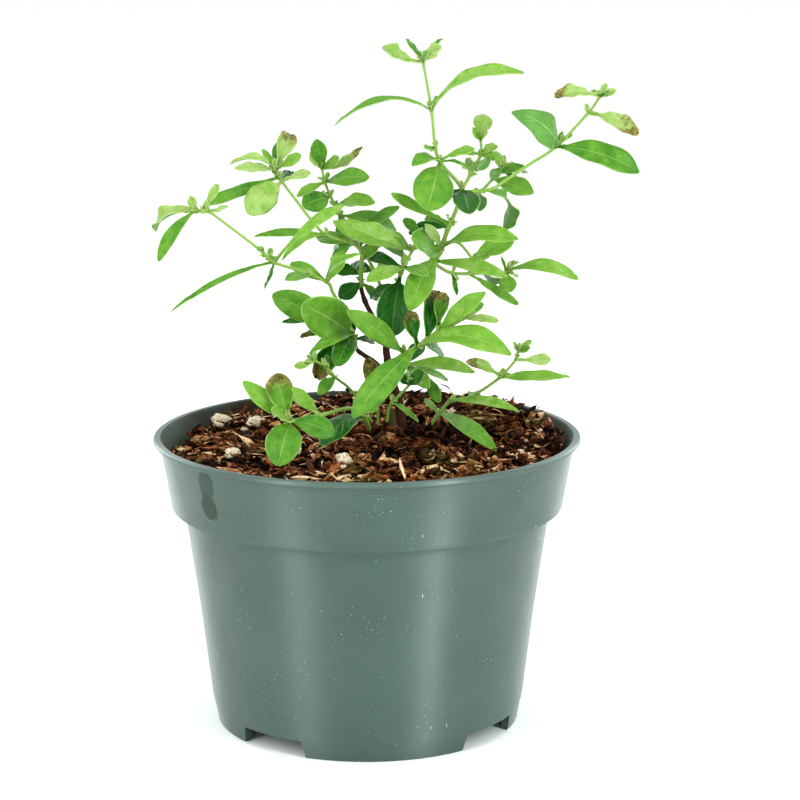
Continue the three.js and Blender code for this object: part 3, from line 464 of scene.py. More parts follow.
def add(tree, kind, inputs=None, stops=None, **settings):
    """Adds a shader node: settings are its own, and each input gets a value, a hex colour or a link."""
    node = tree.nodes.new("ShaderNode" + kind)
    for name, value in settings.items():
        setattr(node, name, value)
    for name, value in (inputs or {}).items():
        if isinstance(name, str):
            socket = next(socket for socket in node.inputs if socket.enabled and socket.name == name)
        else:
            socket = node.inputs[name]
        if isinstance(value, bpy.types.Node):
            value = next(output for output in value.outputs if output.enabled)
        if isinstance(value, bpy.types.NodeSocket):
            tree.links.new(value, socket)
        else:
            socket.default_value = linear(value) if isinstance(value, str) else value
    if stops:
        elements = node.color_ramp.elements
        while len(elements) < len(stops):
            elements.new(1.0)
        for element, (at, hex_colour) in zip(elements, stops):
            element.position = at
            element.color = linear(hex_colour)
    return node


def new_material(name):
    """An empty material and its node tree."""
    material = bpy.data.materials.new(name)
    material.use_nodes = True
    material.node_tree.nodes.clear()
    return material, material.node_tree


def mottling(tree, size_mm, detail=3.0, roughness=0.55, along=(1, 1, 1)):
    """Soft blotches about size_mm across, fixed to the piece. A small number in `along` draws them
    out that way."""
    spread = add(tree, "Mapping", {
        "Vector": add(tree, "TexCoord").outputs["Object"], "Scale": along})
    return add(tree, "TexNoise", {
        "Vector": spread, "Scale": 1 / (size_mm * MM), "Detail": detail, "Roughness": roughness})


def tinted(tree, carried, pattern, reach, swing, stops):
    """The colour for a value that the piece's vertices carry, which is shifted by up to `swing` as
    the pattern goes through its reach, from a low to a high value."""
    shift = add(tree, "MapRange", {
        "Value": pattern, "From Min": reach[0], "From Max": reach[1], "To Min": -swing,
        "To Max": swing})
    shifted = add(tree, "Math", {0: carried, 1: shift}, operation="ADD", use_clamp=True)
    return add(tree, "ValToRGB", {"Fac": shifted}, stops=stops)


def new_piece(name, bm, materials, nodes, sharp_degrees=None):
    """An object of a bmesh, in its place on the frame, which stands for CAD nodes."""
    mesh = bpy.data.meshes.new(name)
    bm.to_mesh(mesh)
    bm.free()
    for material in materials:
        mesh.materials.append(material)
    mesh.shade_smooth()
    if sharp_degrees is not None:
        mesh.set_sharp_from_angle(angle=math.radians(sharp_degrees))
    piece = bpy.data.objects.new(name, mesh)
    bpy.context.scene.collection.objects.link(piece)
    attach(piece, "root")
    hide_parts(*nodes)
    return piece


def smooth_route(route):
    """A smooth curve through a route's points, with STEPS_PER_JOINT stretches between each two."""
    points = [Vector(point) for point in route]
    padded = [2 * points[0] - points[1], *points, 2 * points[-1] - points[-2]]
    curve = []
    for before, start, end, after in zip(padded, padded[1:], padded[2:], padded[3:]):
        for step in range(STEPS_PER_JOINT):
            share = step / STEPS_PER_JOINT
            curve.append(0.5 * (
                2 * start + (end - before) * share
                + (2 * before - 5 * start + 4 * end - after) * share ** 2
                + (3 * start - before - 3 * end + after) * share ** 3))
    curve.append(points[-1].copy())
    return curve


def skin(bm, rows, columns, point_at, value_at):
    """Bends a flat grid into a skin: point_at(column, row) gives each point, as shares from 0 to 1,
    and value_at gives what its vertices carry in the bmesh's float layers."""
    made = bmesh.ops.create_grid(bm, x_segments=columns, y_segments=rows, size=0.5)["verts"]
    uv = bm.loops.layers.uv.get("blade")
    layers = bm.verts.layers.float
    flat = {vert: (vert.co.x + 0.5, vert.co.y + 0.5) for vert in made}
    if uv is not None:
        for face in {face for vert in made for face in vert.link_faces}:
            for loop in face.loops:
                loop[uv].uv = flat[loop.vert]
    for vert, (column, row) in flat.items():
        vert.co = point_at(column, row)
        for name, value in value_at(column, row).items():
            vert[layers[name]] = value
    return made


# ---------------------------------------------------------------- materials

def leaf_veins(tree):
    """Where a leaf's midrib, its curved side veins and its edge run, from the blade's own UV map."""
    side_veins = 8.0
    forward_sweep = 3.4
    parts = add(tree, "SeparateXYZ", {"Vector": add(tree, "UVMap", uv_map="blade")})
    off_rib = add(tree, "Math", {0: parts.outputs["X"], 1: 0.5}, operation="SUBTRACT")
    off_rib = add(tree, "Math", {0: off_rib}, operation="ABSOLUTE")
    rib = add(tree, "MapRange", {"Value": off_rib, "From Min": 0.035, "From Max": 0.01})
    paling = add(tree, "MapRange", {
        "Value": parts.outputs["Y"], "From Min": 0.1, "From Max": 0.95, "To Min": 1.0,
        "To Max": 0.25})
    rib = add(tree, "Math", {0: rib, 1: paling}, operation="MULTIPLY")
    bend = add(tree, "Math", {0: off_rib, 1: 0.8}, operation="POWER")
    forward = add(tree, "Math", {0: bend, 1: -forward_sweep}, operation="MULTIPLY")
    along = add(tree, "Math", {0: parts.outputs["Y"], 1: side_veins, 2: forward},
                operation="MULTIPLY_ADD")
    turn = add(tree, "Math", {0: along}, operation="FRACT")
    off_vein = add(tree, "Math", {0: turn, 1: 0.5}, operation="SUBTRACT")
    off_vein = add(tree, "Math", {0: off_vein}, operation="ABSOLUTE")
    vein = add(tree, "MapRange", {"Value": off_vein, "From Min": 0.1, "From Max": 0.01})
    fading = add(tree, "MapRange", {"Value": off_rib, "From Min": 0.49, "From Max": 0.15})
    side = add(tree, "Math", {0: vein, 1: fading}, operation="MULTIPLY")
    # The edge line at the margin, which is painted pale as light shining through the thin blade.
    edge = add(tree, "MapRange", {"Value": off_rib, "From Min": 0.465, "From Max": 0.495})
    return rib, side, edge


def leaf_skin(name, stops, vein_colour, vein_strength, rim_light_strength, roughness):
    """Living mint leaf: a thin waxy blade whose green goes from old and deep to new and pale, the deep
    green being painted shade on shaded and hanging leaves. It has lighter veins sunk in it, dry brown
    where it died back, a pale edge painted as light shining through its thin margin, and light
    shining a little way through."""
    material, tree = new_material(name)
    tone = add(tree, "Attribute", attribute_name="tone").outputs["Fac"]
    dead = add(tree, "Attribute", attribute_name="dead").outputs["Fac"]
    blotch = mottling(tree, 4.5, detail=6, roughness=0.68)
    green = tinted(tree, tone, blotch, (0.32, 0.68), 0.17, stops)
    rib, side, edge = leaf_veins(tree)
    rib_strength = add(tree, "MapRange", {
        "Value": tone, "From Min": 0.05, "From Max": 0.5, "To Min": 0.2, "To Max": 0.5})
    # The pale edge line is painted light shining through the thin margin.
    for line, strength in ((side, vein_strength), (rib, rib_strength), (edge, rim_light_strength)):
        share = add(tree, "Math", {0: line, 1: strength}, operation="MULTIPLY")
        green = add(tree, "Mix", {"Factor": share, "A": green, "B": vein_colour}, data_type="RGBA")
    ragged = add(tree, "MapRange", {
        "Value": mottling(tree, 1.6, detail=3), "From Min": 0.35, "From Max": 0.65,
        "To Min": -0.24, "To Max": 0.24})
    reach = add(tree, "Math", {0: dead, 1: ragged}, operation="ADD")
    dying = add(tree, "MapRange", {
        "Value": reach, "From Min": 0.38, "From Max": 0.85, "To Max": 0.92})
    dry = add(tree, "ValToRGB", {"Fac": mottling(tree, 1.3, detail=5)},
              stops=[(0.36, "#2f2110"), (0.5, "#6b5128"), (0.66, "#94803f")])
    colour = add(tree, "Mix", {"Factor": dying, "A": green, "B": dry}, data_type="RGBA")
    depth = add(tree, "MapRange", {
        "Value": tone, "From Min": 0.1, "From Max": 0.55, "To Min": 0.75, "To Max": 0.22})
    sunk = add(tree, "Math", {0: side, 1: depth}, operation="MULTIPLY")
    sunk = add(tree, "Math", {0: rib, 1: sunk}, operation="MAXIMUM")
    veins = add(tree, "Bump", {"Height": sunk, "Distance": 0.3 * MM, "Strength": 0.8}, invert=True)
    relief = add(tree, "MapRange", {
        "Value": tone, "From Min": 0.05, "From Max": 0.5, "To Min": 0.9, "To Max": 0.5})
    quilt = add(tree, "Bump", {
        "Height": mottling(tree, 2.6, detail=3), "Distance": 0.8 * MM, "Strength": relief,
        "Normal": veins})
    gloss = add(tree, "MapRange", {
        "Value": tone, "From Min": 0.0, "From Max": 0.6, "To Min": roughness - 0.2,
        "To Max": roughness})
    add(tree, "OutputMaterial", {"Surface": add(tree, "BsdfPrincipled", {
        "Base Color": colour, "Normal": quilt, "Roughness": gloss, "IOR": 1.45,
        "Specular IOR Level": 0.16, "Subsurface Weight": 0.25,
        "Subsurface Radius": (0.6, 1.0, 0.25), "Subsurface Scale": 1.2 * MM})})
    return material


def stem_skin(name, stops, roughness, ridge_mm):
    """Stem skin: smooth and juicy green when new, dull and finely cracked lengthwise when woody."""
    material, tree = new_material(name)
    age = add(tree, "Attribute", attribute_name="age").outputs["Fac"]
    streak = mottling(tree, 0.9, detail=4, along=(1, 1, 0.16))
    colour = tinted(tree, age, streak, (0.3, 0.7), 0.14, stops)
    ridges = add(tree, "Bump", {"Height": streak, "Distance": ridge_mm * MM, "Strength": 0.8})
    add(tree, "OutputMaterial", {"Surface": add(tree, "BsdfPrincipled", {
        "Base Color": colour, "Normal": ridges, "Roughness": roughness, "IOR": 1.45,
        "Specular IOR Level": 0.16, "Subsurface Weight": 0.12,
        "Subsurface Radius": (0.6, 1.0, 0.25), "Subsurface Scale": 1.0 * MM})})
    return material


def shredded_pine_bark():
    """Shredded pine bark, damp: dull red-brown fibres that run along each torn chip, painted nearly
    black as shade where it lies deep, and here and there under a film of green algae."""
    material, tree = new_material("shredded_pine_bark")
    tone = add(tree, "Attribute", attribute_name="tone").outputs["Fac"]
    lengthwise = add(tree, "Mapping", {
        "Vector": add(tree, "Attribute", attribute_name="grain").outputs["Vector"],
        "Scale": (0.16, 1.0, 1.0)})
    fibre = add(tree, "TexNoise", {
        "Vector": lengthwise, "Scale": 2.2, "Detail": 5.0, "Roughness": 0.65})
    colour = tinted(tree, tone, fibre, (0.32, 0.68), 0.3, [
        (0.0, "#060201"), (0.2, "#200d05"), (0.46, "#5e2d15"), (0.72, "#a76b3d"), (1.0, "#ebca9b")])
    algae = add(tree, "MapRange", {
        "Value": mottling(tree, 16, detail=4), "From Min": 0.56, "From Max": 0.68, "To Max": 0.45})
    colour = add(tree, "Mix", {"Factor": algae, "A": colour, "B": "#62602a"}, data_type="RGBA")
    torn = add(tree, "Bump", {"Height": fibre, "Distance": 0.6 * MM, "Strength": 0.9})
    add(tree, "OutputMaterial", {"Surface": add(tree, "BsdfPrincipled", {
        "Base Color": colour, "Normal": torn, "Roughness": 0.75, "IOR": 1.45,
        "Specular IOR Level": 0.04})})
    return material


def peat_fines():
    """Peat and bark dust between the chips: damp peat's dark brown, painted nearly black as the shade
    in the gaps between the chips, crumbly, with no shine.
    """
    material, tree = new_material("peat_fines")
    crumb = mottling(tree, 1.6, detail=6, roughness=0.7)
    crumbly = add(tree, "Bump", {"Height": crumb, "Distance": 1.4 * MM, "Strength": 1.0})
    add(tree, "OutputMaterial", {"Surface": add(tree, "BsdfPrincipled", {
        # Near black: damp peat's own dark brown, and painted shade in the gaps between the chips.
        "Base Color": add(tree, "ValToRGB", {"Fac": crumb},
                          stops=[(0.34, "#060302"), (0.54, "#120904"), (0.7, "#37200f")]),
        "Normal": crumbly, "Roughness": 0.88, "IOR": 1.45, "Specular IOR Level": 0.02})})
    return material


def expanded_perlite():
    """Expanded volcanic glass: chalk-white lumps, finely pitted and stained a little by the bark."""
    material, tree = new_material("expanded_perlite")
    pits = mottling(tree, 0.8, detail=4, roughness=0.65)
    pitted = add(tree, "Bump", {"Height": pits, "Distance": 0.4 * MM, "Strength": 1.0})
    add(tree, "OutputMaterial", {"Surface": add(tree, "BsdfPrincipled", {
        "Base Color": add(tree, "ValToRGB", {"Fac": pits},
                          stops=[(0.36, "#6f4c33"), (0.45, "#c4ae8a"), (0.62, "#ddd2b8")]),
        "Normal": pitted, "Roughness": 0.85, "IOR": 1.45})})
    return material


def specks(tree, size_mm, reach, drawn_out):
    """Scattered marks in patches, one or none to each size_mm of surface, with a radius of up to
    `reach` of that. A small last number of drawn_out makes upright hairs of them."""
    spread = add(tree, "Mapping", {
        "Vector": add(tree, "TexCoord").outputs["Object"], "Scale": drawn_out})
    marks = add(tree, "TexVoronoi", {"Vector": spread, "Scale": 1 / (size_mm * MM)})
    patches = add(tree, "MapRange", {
        "Value": mottling(tree, 14), "From Min": 0.4, "From Max": 0.62, "To Min": 0.25 * reach,
        "To Max": reach})
    mark = add(tree, "Math", {0: marks.outputs["Distance"], 1: patches}, operation="LESS_THAN")
    chosen = add(tree, "SeparateColor", {"Color": marks.outputs["Color"]})
    return add(tree, "Math", {0: mark, 1: chosen}, operation="MULTIPLY")


def satin_polypropylene(name, cloud_stops, speck_colour, shine, roughness, lip_wear_and_highlight):
    """Injection-moulded polypropylene, satin grey-green. Its mould was turned, so each reflection is
    drawn out into an upright streak. It shows fine dust, hair scratches, a damp run down the collar,
    and a paler lip top, partly worn and dusty and partly a painted highlight of the light above."""
    material, tree = new_material(name)
    spot = add(tree, "TexCoord").outputs["Object"]
    colour = add(tree, "ValToRGB", {"Fac": mottling(tree, 26)}, stops=cloud_stops)
    up = add(tree, "SeparateXYZ", {"Vector": spot}).outputs["Z"]
    # The lip's top is painted paler: partly wear and dust, partly a painted highlight from above.
    worn_and_lit = add(tree, "MapRange", {
        "Value": up, "From Min": RIM_HEIGHT - 2 * MM, "From Max": RIM_HEIGHT - 1 * MM,
        "To Max": lip_wear_and_highlight})
    colour = add(tree, "Mix", {"Factor": worn_and_lit, "A": colour, "B": "#60756f"}, data_type="RGBA")
    dusty = add(tree, "Math", {
        0: specks(tree, 2.1, 0.09, (1, 1, 1)), 1: specks(tree, 3.0, 0.05, (1, 1, 0.16))},
        operation="MAXIMUM")
    haze = add(tree, "Math", {0: specks(tree, 1.2, 0.13, (1, 1, 0.6)), 1: 0.42}, operation="MULTIPLY")
    dusty = add(tree, "Math", {0: dusty, 1: haze}, operation="MAXIMUM")
    colour = add(tree, "Mix", {"Factor": dusty, "A": colour, "B": speck_colour}, data_type="RGBA")
    damp = damp_run(tree, spot)
    wetted = add(tree, "Math", {0: damp, 1: 0.85}, operation="MULTIPLY")
    colour = add(tree, "Mix", {"Factor": wetted, "A": colour, "B": "#0a2406"}, data_type="RGBA")
    rough = add(tree, "MapRange", {
        "Value": mottling(tree, 14, detail=4), "From Min": 0.3, "From Max": 0.7,
        "To Min": roughness, "To Max": roughness + 0.08})
    rough = add(tree, "Mix", {0: damp, 2: rough, 3: 0.85})
    peel = add(tree, "Bump", {
        "Height": mottling(tree, 1.5, detail=4), "Distance": 0.05 * MM, "Strength": 0.6})
    add(tree, "OutputMaterial", {"Surface": add(tree, "BsdfPrincipled", {
        "Base Color": colour, "Normal": peel, "Roughness": rough, "IOR": 1.49,
        "Specular IOR Level": shine, "Anisotropic": 0.9, "Anisotropic Rotation": 0.25,
        "Tangent": add(tree, "Tangent", direction_type="RADIAL", axis="Z")})})
    return material


def damp_run(tree, spot):
    """Where water has run down the collar's front left: a thin smear, and a full drop below it. Their
    edges wobble, and fade over `fading` millimetres."""
    wobble = 2.4
    fading = 0.8
    marks = []
    for drop in DAMP_RUN:
        azimuth = math.radians(drop.azimuth)
        radius = COLLAR_TOP_RADIUS - COLLAR_SLOPE * drop.fall
        centre = place((radius * math.sin(azimuth), -radius * math.cos(azimuth), -drop.fall))
        offset = add(tree, "VectorMath", {0: spot, 1: centre}, operation="SUBTRACT")
        rounded = add(tree, "VectorMath", {0: offset, 1: (1, 1, drop.width / drop.height)},
                      operation="MULTIPLY")
        distance = add(tree, "VectorMath", {0: rounded}, operation="LENGTH").outputs["Value"]
        wobbly = add(tree, "Math", {0: mottling(tree, 3), 1: wobble * MM, 2: distance},
                     operation="MULTIPLY_ADD")
        inner = drop.width + 0.7
        marks.append(add(tree, "MapRange", {
            "Value": wobbly, "From Min": (inner + fading) * MM, "From Max": inner * MM,
            "To Max": drop.strength}))
    return add(tree, "Math", {0: marks[0], 1: marks[1]}, operation="MAXIMUM")


# ---------------------------------------------------------------- the pot

def pot_profile():
    """The pot's section as a closed loop of (radius, height): under the floor, the foot ring, up the
    outside to the rolled lip, and down the inside to the floor. The small steps round its edges."""
    inside = BASE_RADIUS - FOOT_WIDTH
    lip_underside = POT_HEIGHT - LIP_THICKNESS
    return [
        (0, FLOOR_UNDERSIDE), (inside - 1, FLOOR_UNDERSIDE), (inside - 0.3, FLOOR_UNDERSIDE - 0.4),
        (inside, 0.4), (inside + 0.4, 0), (BASE_RADIUS - 0.4, 0), (BASE_RADIUS + 0.05, 0.5),
        (BAND_RADIUS - 0.35, BAND_HEIGHT - 1.6), (BAND_RADIUS, BAND_HEIGHT - 0.5),
        (BAND_RADIUS + 0.03, BAND_HEIGHT), (BAND_RADIUS + 0.45, BAND_HEIGHT + 1.6),
        (WAIST_RADIUS, WAIST_HEIGHT), (BODY_TOP_RADIUS - 0.25, LEDGE_HEIGHT - 2.4),
        (BODY_TOP_RADIUS, LEDGE_HEIGHT - 0.8), (BODY_TOP_RADIUS + 0.6, LEDGE_HEIGHT - 0.15),
        (COLLAR_BOTTOM_RADIUS - 1.1, LEDGE_HEIGHT), (COLLAR_BOTTOM_RADIUS - 0.35, LEDGE_HEIGHT + 0.35),
        (COLLAR_BOTTOM_RADIUS, LEDGE_HEIGHT + 1.1), (COLLAR_BOTTOM_RADIUS + 0.1, LEDGE_HEIGHT + 2.2),
        (COLLAR_TOP_RADIUS - 0.1, lip_underside - 0.9), (COLLAR_TOP_RADIUS + 0.3, lip_underside - 0.2),
        (COLLAR_TOP_RADIUS + 1, lip_underside), (LIP_RADIUS - 0.5, lip_underside),
        (LIP_RADIUS - 0.1, POT_HEIGHT - 1.5), (LIP_RADIUS, POT_HEIGHT - 1.0),
        (LIP_RADIUS - 0.12, POT_HEIGHT - 0.4), (LIP_RADIUS - 0.6, POT_HEIGHT),
        (LIP_RADIUS - 2.5, POT_HEIGHT), (LIP_RADIUS - 3.1, POT_HEIGHT - 0.4),
        (LIP_RADIUS - 3.5, POT_HEIGHT - 1.2), (COLLAR_BOTTOM_RADIUS - WALL, LEDGE_HEIGHT + 1.6),
        (COLLAR_BOTTOM_RADIUS - WALL - 0.7, LEDGE_HEIGHT + 0.9),
        (BODY_TOP_RADIUS - WALL, LEDGE_HEIGHT + 0.6), (WAIST_RADIUS - WALL, WAIST_HEIGHT),
        (FLOOR_RADIUS + 1.4, FLOOR_TOP + 1.5), (FLOOR_RADIUS, FLOOR_TOP), (0, FLOOR_TOP),
    ]


def spun_shell(profile):
    """Turns a section round the pot's axis into a closed shell."""
    bm = bmesh.new()
    line = [bm.verts.new((POT_AXIS.x + radius * MM, POT_AXIS.y, height * MM))
            for radius, height in profile]
    edges = [bm.edges.new(pair) for pair in zip(line, line[1:])]
    bmesh.ops.spin(bm, geom=line + edges, axis=(0, 0, 1), cent=POT_AXIS, dvec=(0, 0, 0),
                   angle=2 * math.pi, steps=POT_FACETS, use_merge=True)
    bmesh.ops.remove_doubles(bm, verts=bm.verts, dist=0.005 * MM)
    bmesh.ops.recalc_face_normals(bm, faces=bm.faces)
    return bm


def foot_cutters():
    """Solids that cut the gaps between the pot's feet and the drain holes in its floor."""
    bm = bmesh.new()
    half_top = BASE_RADIUS * math.sin(math.radians(FOOT_GAP_ANGLE / 2))
    for foot in range(FEET):
        turn = Matrix.Translation(POT_AXIS) @ Matrix.Rotation(
            math.radians(FIRST_FOOT_GAP + 360 / FEET * foot), 4, "Z")
        gap = bmesh.ops.create_cube(bm, size=1)["verts"]
        for vert in gap:
            half = half_top if vert.co.z > 0 else half_top + FOOT_GAP_FLARE
            height = FOOT_GAP_HEIGHT if vert.co.z > 0 else -1
            vert.co = turn @ (Vector((
                vert.co.x * 2 * half, vert.co.y * FOOT_GAP_DEPTH - BASE_RADIUS + 1, height)) * MM)
        bmesh.ops.create_cone(
            bm, cap_ends=True, segments=32, radius1=DRAIN_HOLE_RADIUS * MM,
            radius2=DRAIN_HOLE_RADIUS * MM, depth=6 * MM,
            matrix=turn @ Matrix.Translation((0, -DRAIN_HOLE_CIRCLE * MM, FLOOR_UNDERSIDE * MM)))
    mesh = bpy.data.meshes.new("foot_cutters")
    bm.to_mesh(mesh)
    bm.free()
    return bpy.data.objects.new("foot_cutters", mesh)


def make_pot():
    """The pot: a spun shell with its gaps and drain holes cut, clean outside and stained inside."""
    outside = satin_polypropylene(
        "satin_polypropylene", [(0.3, "#1c392c"), (0.7, "#224234")], speck_colour="#b4c0b9",
        shine=1.0, roughness=0.42, lip_wear_and_highlight=0.12)
    inside = satin_polypropylene(
        "soil_stained_polypropylene", [(0.36, "#2c271c"), (0.62, "#333f35")],
        speck_colour="#756048", shine=0.16, roughness=0.66, lip_wear_and_highlight=0.0)
    pot = new_piece("nursery_pot", spun_shell(pot_profile()), [outside, inside], ["pot"])
    cutters = foot_cutters()
    bpy.context.scene.collection.objects.link(cutters)
    cut = pot.modifiers.new("foot gaps", "BOOLEAN")
    cut.operation = "DIFFERENCE"
    cut.solver = "EXACT"
    cut.object = cutters
    shaped = bpy.data.meshes.new_from_object(
        pot.evaluated_get(bpy.context.evaluated_depsgraph_get()))
    pot.modifiers.remove(cut)
    pot.data = shaped
    bpy.data.objects.remove(cutters)
    for face in shaped.polygons:
        outward = Vector((face.center.x - POT_AXIS.x, face.center.y - POT_AXIS.y, 0)).normalized()
        faces_in = face.normal.dot(outward) < -0.3
        if faces_in and face.center.z > FLOOR_UNDERSIDE * MM:
            face.material_index = 1
    shaped.shade_smooth()
    shaped.set_sharp_from_angle(angle=math.radians(38))
# ---------------------------------------------------------------- the bark mix

def wall_inside(up):
    """The pot's inner radius at a height against the rim, within the collar."""
    return COLLAR_TOP_RADIUS + COLLAR_SLOPE * up - WALL


def soil_level(x, y):
    """Height of the bark against the rim: a ridge that falls to the sides, a rise at the back, the
    heap at the back right, and a ripple over all."""
    side = (x - RIDGE_RIGHT) / COLLAR_BOTTOM_RADIUS
    ripple = 0.6 * math.sin(x * 0.21 + y * 0.13) + 0.5 * math.sin(y * 0.27 - x * 0.09)
    turned = (math.atan2(y, x) - HEAP_AZIMUTH) / HEAP_HALF_ANGLE
    inward = (math.hypot(x, y) - wall_inside(0)) / HEAP_DEPTH
    heap = HEAP_HEIGHT * math.exp(-(turned ** 2 + inward ** 2) / 2)
    rise = BACK_RISE * max(0.0, y / wall_inside(0)) ** 2
    return RIDGE_LEVEL - SIDE_DROP * side * side + ripple + heap + rise


def heave(x, y):
    """A number from about -1 to 1 for how the dug-over surface heaves at a place."""
    return noise.noise(Vector((x / 9, y / 9, 3.1))) + 0.5 * noise.noise(Vector((x / 3, y / 3, 8.4)))


def make_fines():
    """The body of the mix: it fills the pot just short of its wall, and its top heaves and crumbles.
    Its outline goes, as (radius, height), from the floor's middle to the edge of the top."""
    inset = WALL + 0.6
    edge = wall_inside(-8) - 0.9
    outline = [(0, FLOOR_TOP + 0.3), (FLOOR_RADIUS, FLOOR_TOP + 0.3),
               (WAIST_RADIUS - inset, WAIST_HEIGHT), (BODY_TOP_RADIUS - inset, LEDGE_HEIGHT + 1.2),
               (COLLAR_BOTTOM_RADIUS - inset, LEDGE_HEIGHT + 2), (edge, POT_HEIGHT - 9)]
    rows = len(outline) - 1 + SOIL_RINGS

    def point_at(column, row):
        ring = round(row * rows)
        azimuth = 2 * math.pi * column
        if ring < len(outline):
            radius, height = outline[ring]
            return place((radius * math.cos(azimuth), radius * math.sin(azimuth), height - POT_HEIGHT))
        radius = edge * (1 - (ring - len(outline) + 1) / SOIL_RINGS)
        x, y = radius * math.cos(azimuth), radius * math.sin(azimuth)
        return place((x, y, soil_level(x, y) - FINES_SUNK + GROUND_RELIEF * heave(x, y)))

    bm = bmesh.new()
    skin(bm, rows, SOIL_FACETS, point_at, lambda column, row: {})
    bmesh.ops.remove_doubles(bm, verts=bm.verts, dist=0.01 * MM)
    bmesh.ops.recalc_face_normals(bm, faces=bm.faces)
    new_piece("peat_fines", bm, [peat_fines()], ["soil"])


def add_shard(bm, draw, length, width, thickness, where):
    """One torn shard of bark along its own X axis, closed, with ragged tapering ends. Its tone is
    painted darker as shade the deeper it lies, and darker again in a patch round a given point."""
    layers = bm.verts.layers.float
    grain = bm.verts.layers.float_vector["grain"]
    most_bend = FIBRE_BEND if width < THIN_SHARD else CHIP_BEND
    bend = draw.uniform(-most_bend, most_bend) * length
    ends = (draw.uniform(0.1, 0.8), draw.uniform(0.1, 0.8))
    skewed = draw.uniform(-0.5, 0.5)
    ragged = [[draw.uniform(0.72, 1.2) for corner in range(6)] for ring in range(5)]
    sort = draw.random()
    tone = draw.uniform(*next(tones for share, tones in BARK_TONES if sort < share))

    def point_at(column, row):
        ring = round(row * 4)
        corner = round(column * 6) % 6
        share = (ring - 2) / 2
        grown = 0.0 if ring in (0, 4) else 1.0 if ring == 2 else ends[ring // 2]
        grown *= ragged[ring][corner]
        turn = 2 * math.pi * corner / 6
        return Vector((
            share * length / 2 + skewed * width * math.cos(turn) * (1 - abs(share)) * 0.5,
            grown * width / 2 * math.cos(turn) + bend * (1 - share * share),
            grown * thickness / 2 * math.sin(turn)))

    verts = skin(bm, 4, 6, point_at, lambda column, row: {})
    offset = Vector((draw.uniform(0, 90), draw.uniform(0, 90), draw.uniform(0, 90)))
    for vert in verts:
        vert[grain] = vert.co + offset
        spot = where @ vert.co
        # Painted shade: the deeper this spot lies, the darker its tone; the darker patch takes off
        # more.
        depth = soil_level(spot.x, spot.y) + 0.6 - spot.z
        in_dark_patch = math.exp(-(spot.xy - DARK_PATCH_CENTRE).length_squared / (2 * DARK_PATCH_REACH ** 2))
        kept = min(1.0, max(LEAST_KEPT_IN_SHADE, 1 - PAINTED_DEPTH_SHADE * depth)) * (1 - DARK_PATCH_LOSS * in_dark_patch)
        vert[layers["tone"]] = tone * kept
        vert.co = place(spot)


def shard_lie(draw, length, reach, lift):
    """Where a shard lies: anywhere on the ground, turned along the wall when it is near it."""
    radius = reach * math.sqrt(draw.random())
    azimuth = 2 * math.pi * draw.random()
    x, y = radius * math.cos(azimuth), radius * math.sin(azimuth)
    turn = 2 * math.pi * draw.random()
    if radius + length / 2 > WALL_CLEARANCE:
        turn = azimuth + math.pi / 2 + draw.uniform(-0.25, 0.25)
    level = soil_level(x, y) + GROUND_RELIEF * heave(x, y) + lift
    return (Matrix.Translation((x, y, level)) @ Matrix.Rotation(turn, 4, "Z")
            @ Matrix.Rotation(draw.gauss(0, 0.36), 4, "Y")
            @ Matrix.Rotation(draw.uniform(-1.4, 1.4), 4, "X"))


def make_shards(name, bark, seed, sorts):
    """Torn shards of a few sorts, built in batches, because a small mesh is quick to add to."""
    draw = random.Random(seed)
    whole = bmesh.new()
    for batch in range(SHARD_BATCHES):
        bm = bmesh.new()
        bm.verts.layers.float.new("tone")
        bm.verts.layers.float_vector.new("grain")
        for sort in sorts:
            for shard in range(sort.count // SHARD_BATCHES):
                length = draw.uniform(*sort.lengths)
                where = shard_lie(draw, length, sort.reach, draw.uniform(*sort.lifts))
                width = min(draw.uniform(*sort.widths), length * 0.8)
                add_shard(bm, draw, length, width, draw.uniform(*sort.thicknesses), where)
        bmesh.ops.remove_doubles(bm, verts=bm.verts, dist=0.002 * MM)
        bmesh.ops.recalc_face_normals(bm, faces=bm.faces)
        mesh = bpy.data.meshes.new("bark_batch")
        bm.to_mesh(mesh)
        bm.free()
        whole.from_mesh(mesh)
        bpy.data.meshes.remove(mesh)
    new_piece(name, whole, [bark], ["soil"], sharp_degrees=42)


def make_bark():
    """Thousands of torn shards: chips, slivers and thin fibres on top, with crumbs between them."""
    bark = shredded_pine_bark()
    make_shards("bark_chips", bark, 11, [CHIPS, SLIVERS, FIBRES])
    make_shards("bark_crumbs", bark, 12, [CRUMBS])


def make_perlite():
    """Perlite lumps, a few big ones where the photo has them and small ones all over."""
    draw = random.Random(5)
    small = []
    while len(small) < SMALL_PERLITE:
        x = draw.uniform(-PERLITE_REACH, PERLITE_REACH)
        y = draw.uniform(-PERLITE_REACH, PERLITE_REACH)
        if math.hypot(x, y) < PERLITE_REACH:
            small.append((x, y, draw.uniform(0.4, 1.2)))
    bm = bmesh.new()
    for x, y, radius in BIG_PERLITE + small:
        centre = Vector((x, y, soil_level(x, y) + 0.9 * heave(x, y) + 0.45 * radius + 0.3))
        lump = bmesh.ops.create_icosphere(bm, subdivisions=3 if radius > 1.2 else 2, radius=radius)
        for vert in lump["verts"]:
            dent = noise.noise(vert.co * (1.3 / radius) + centre) * 0.5
            flat = Vector((vert.co.x * 1.12, vert.co.y, vert.co.z * 0.85))
            vert.co = place(centre + flat * (1 + dent))
    new_piece("perlite_lumps", bm, [expanded_perlite()], ["soil"])


# ---------------------------------------------------------------- the plant

def along_route(curve, at):
    """The point that lies `at` joints along a smooth route."""
    exact = at * STEPS_PER_JOINT
    index = min(int(exact), len(curve) - 2)
    return curve[index].lerp(curve[index + 1], exact - index)


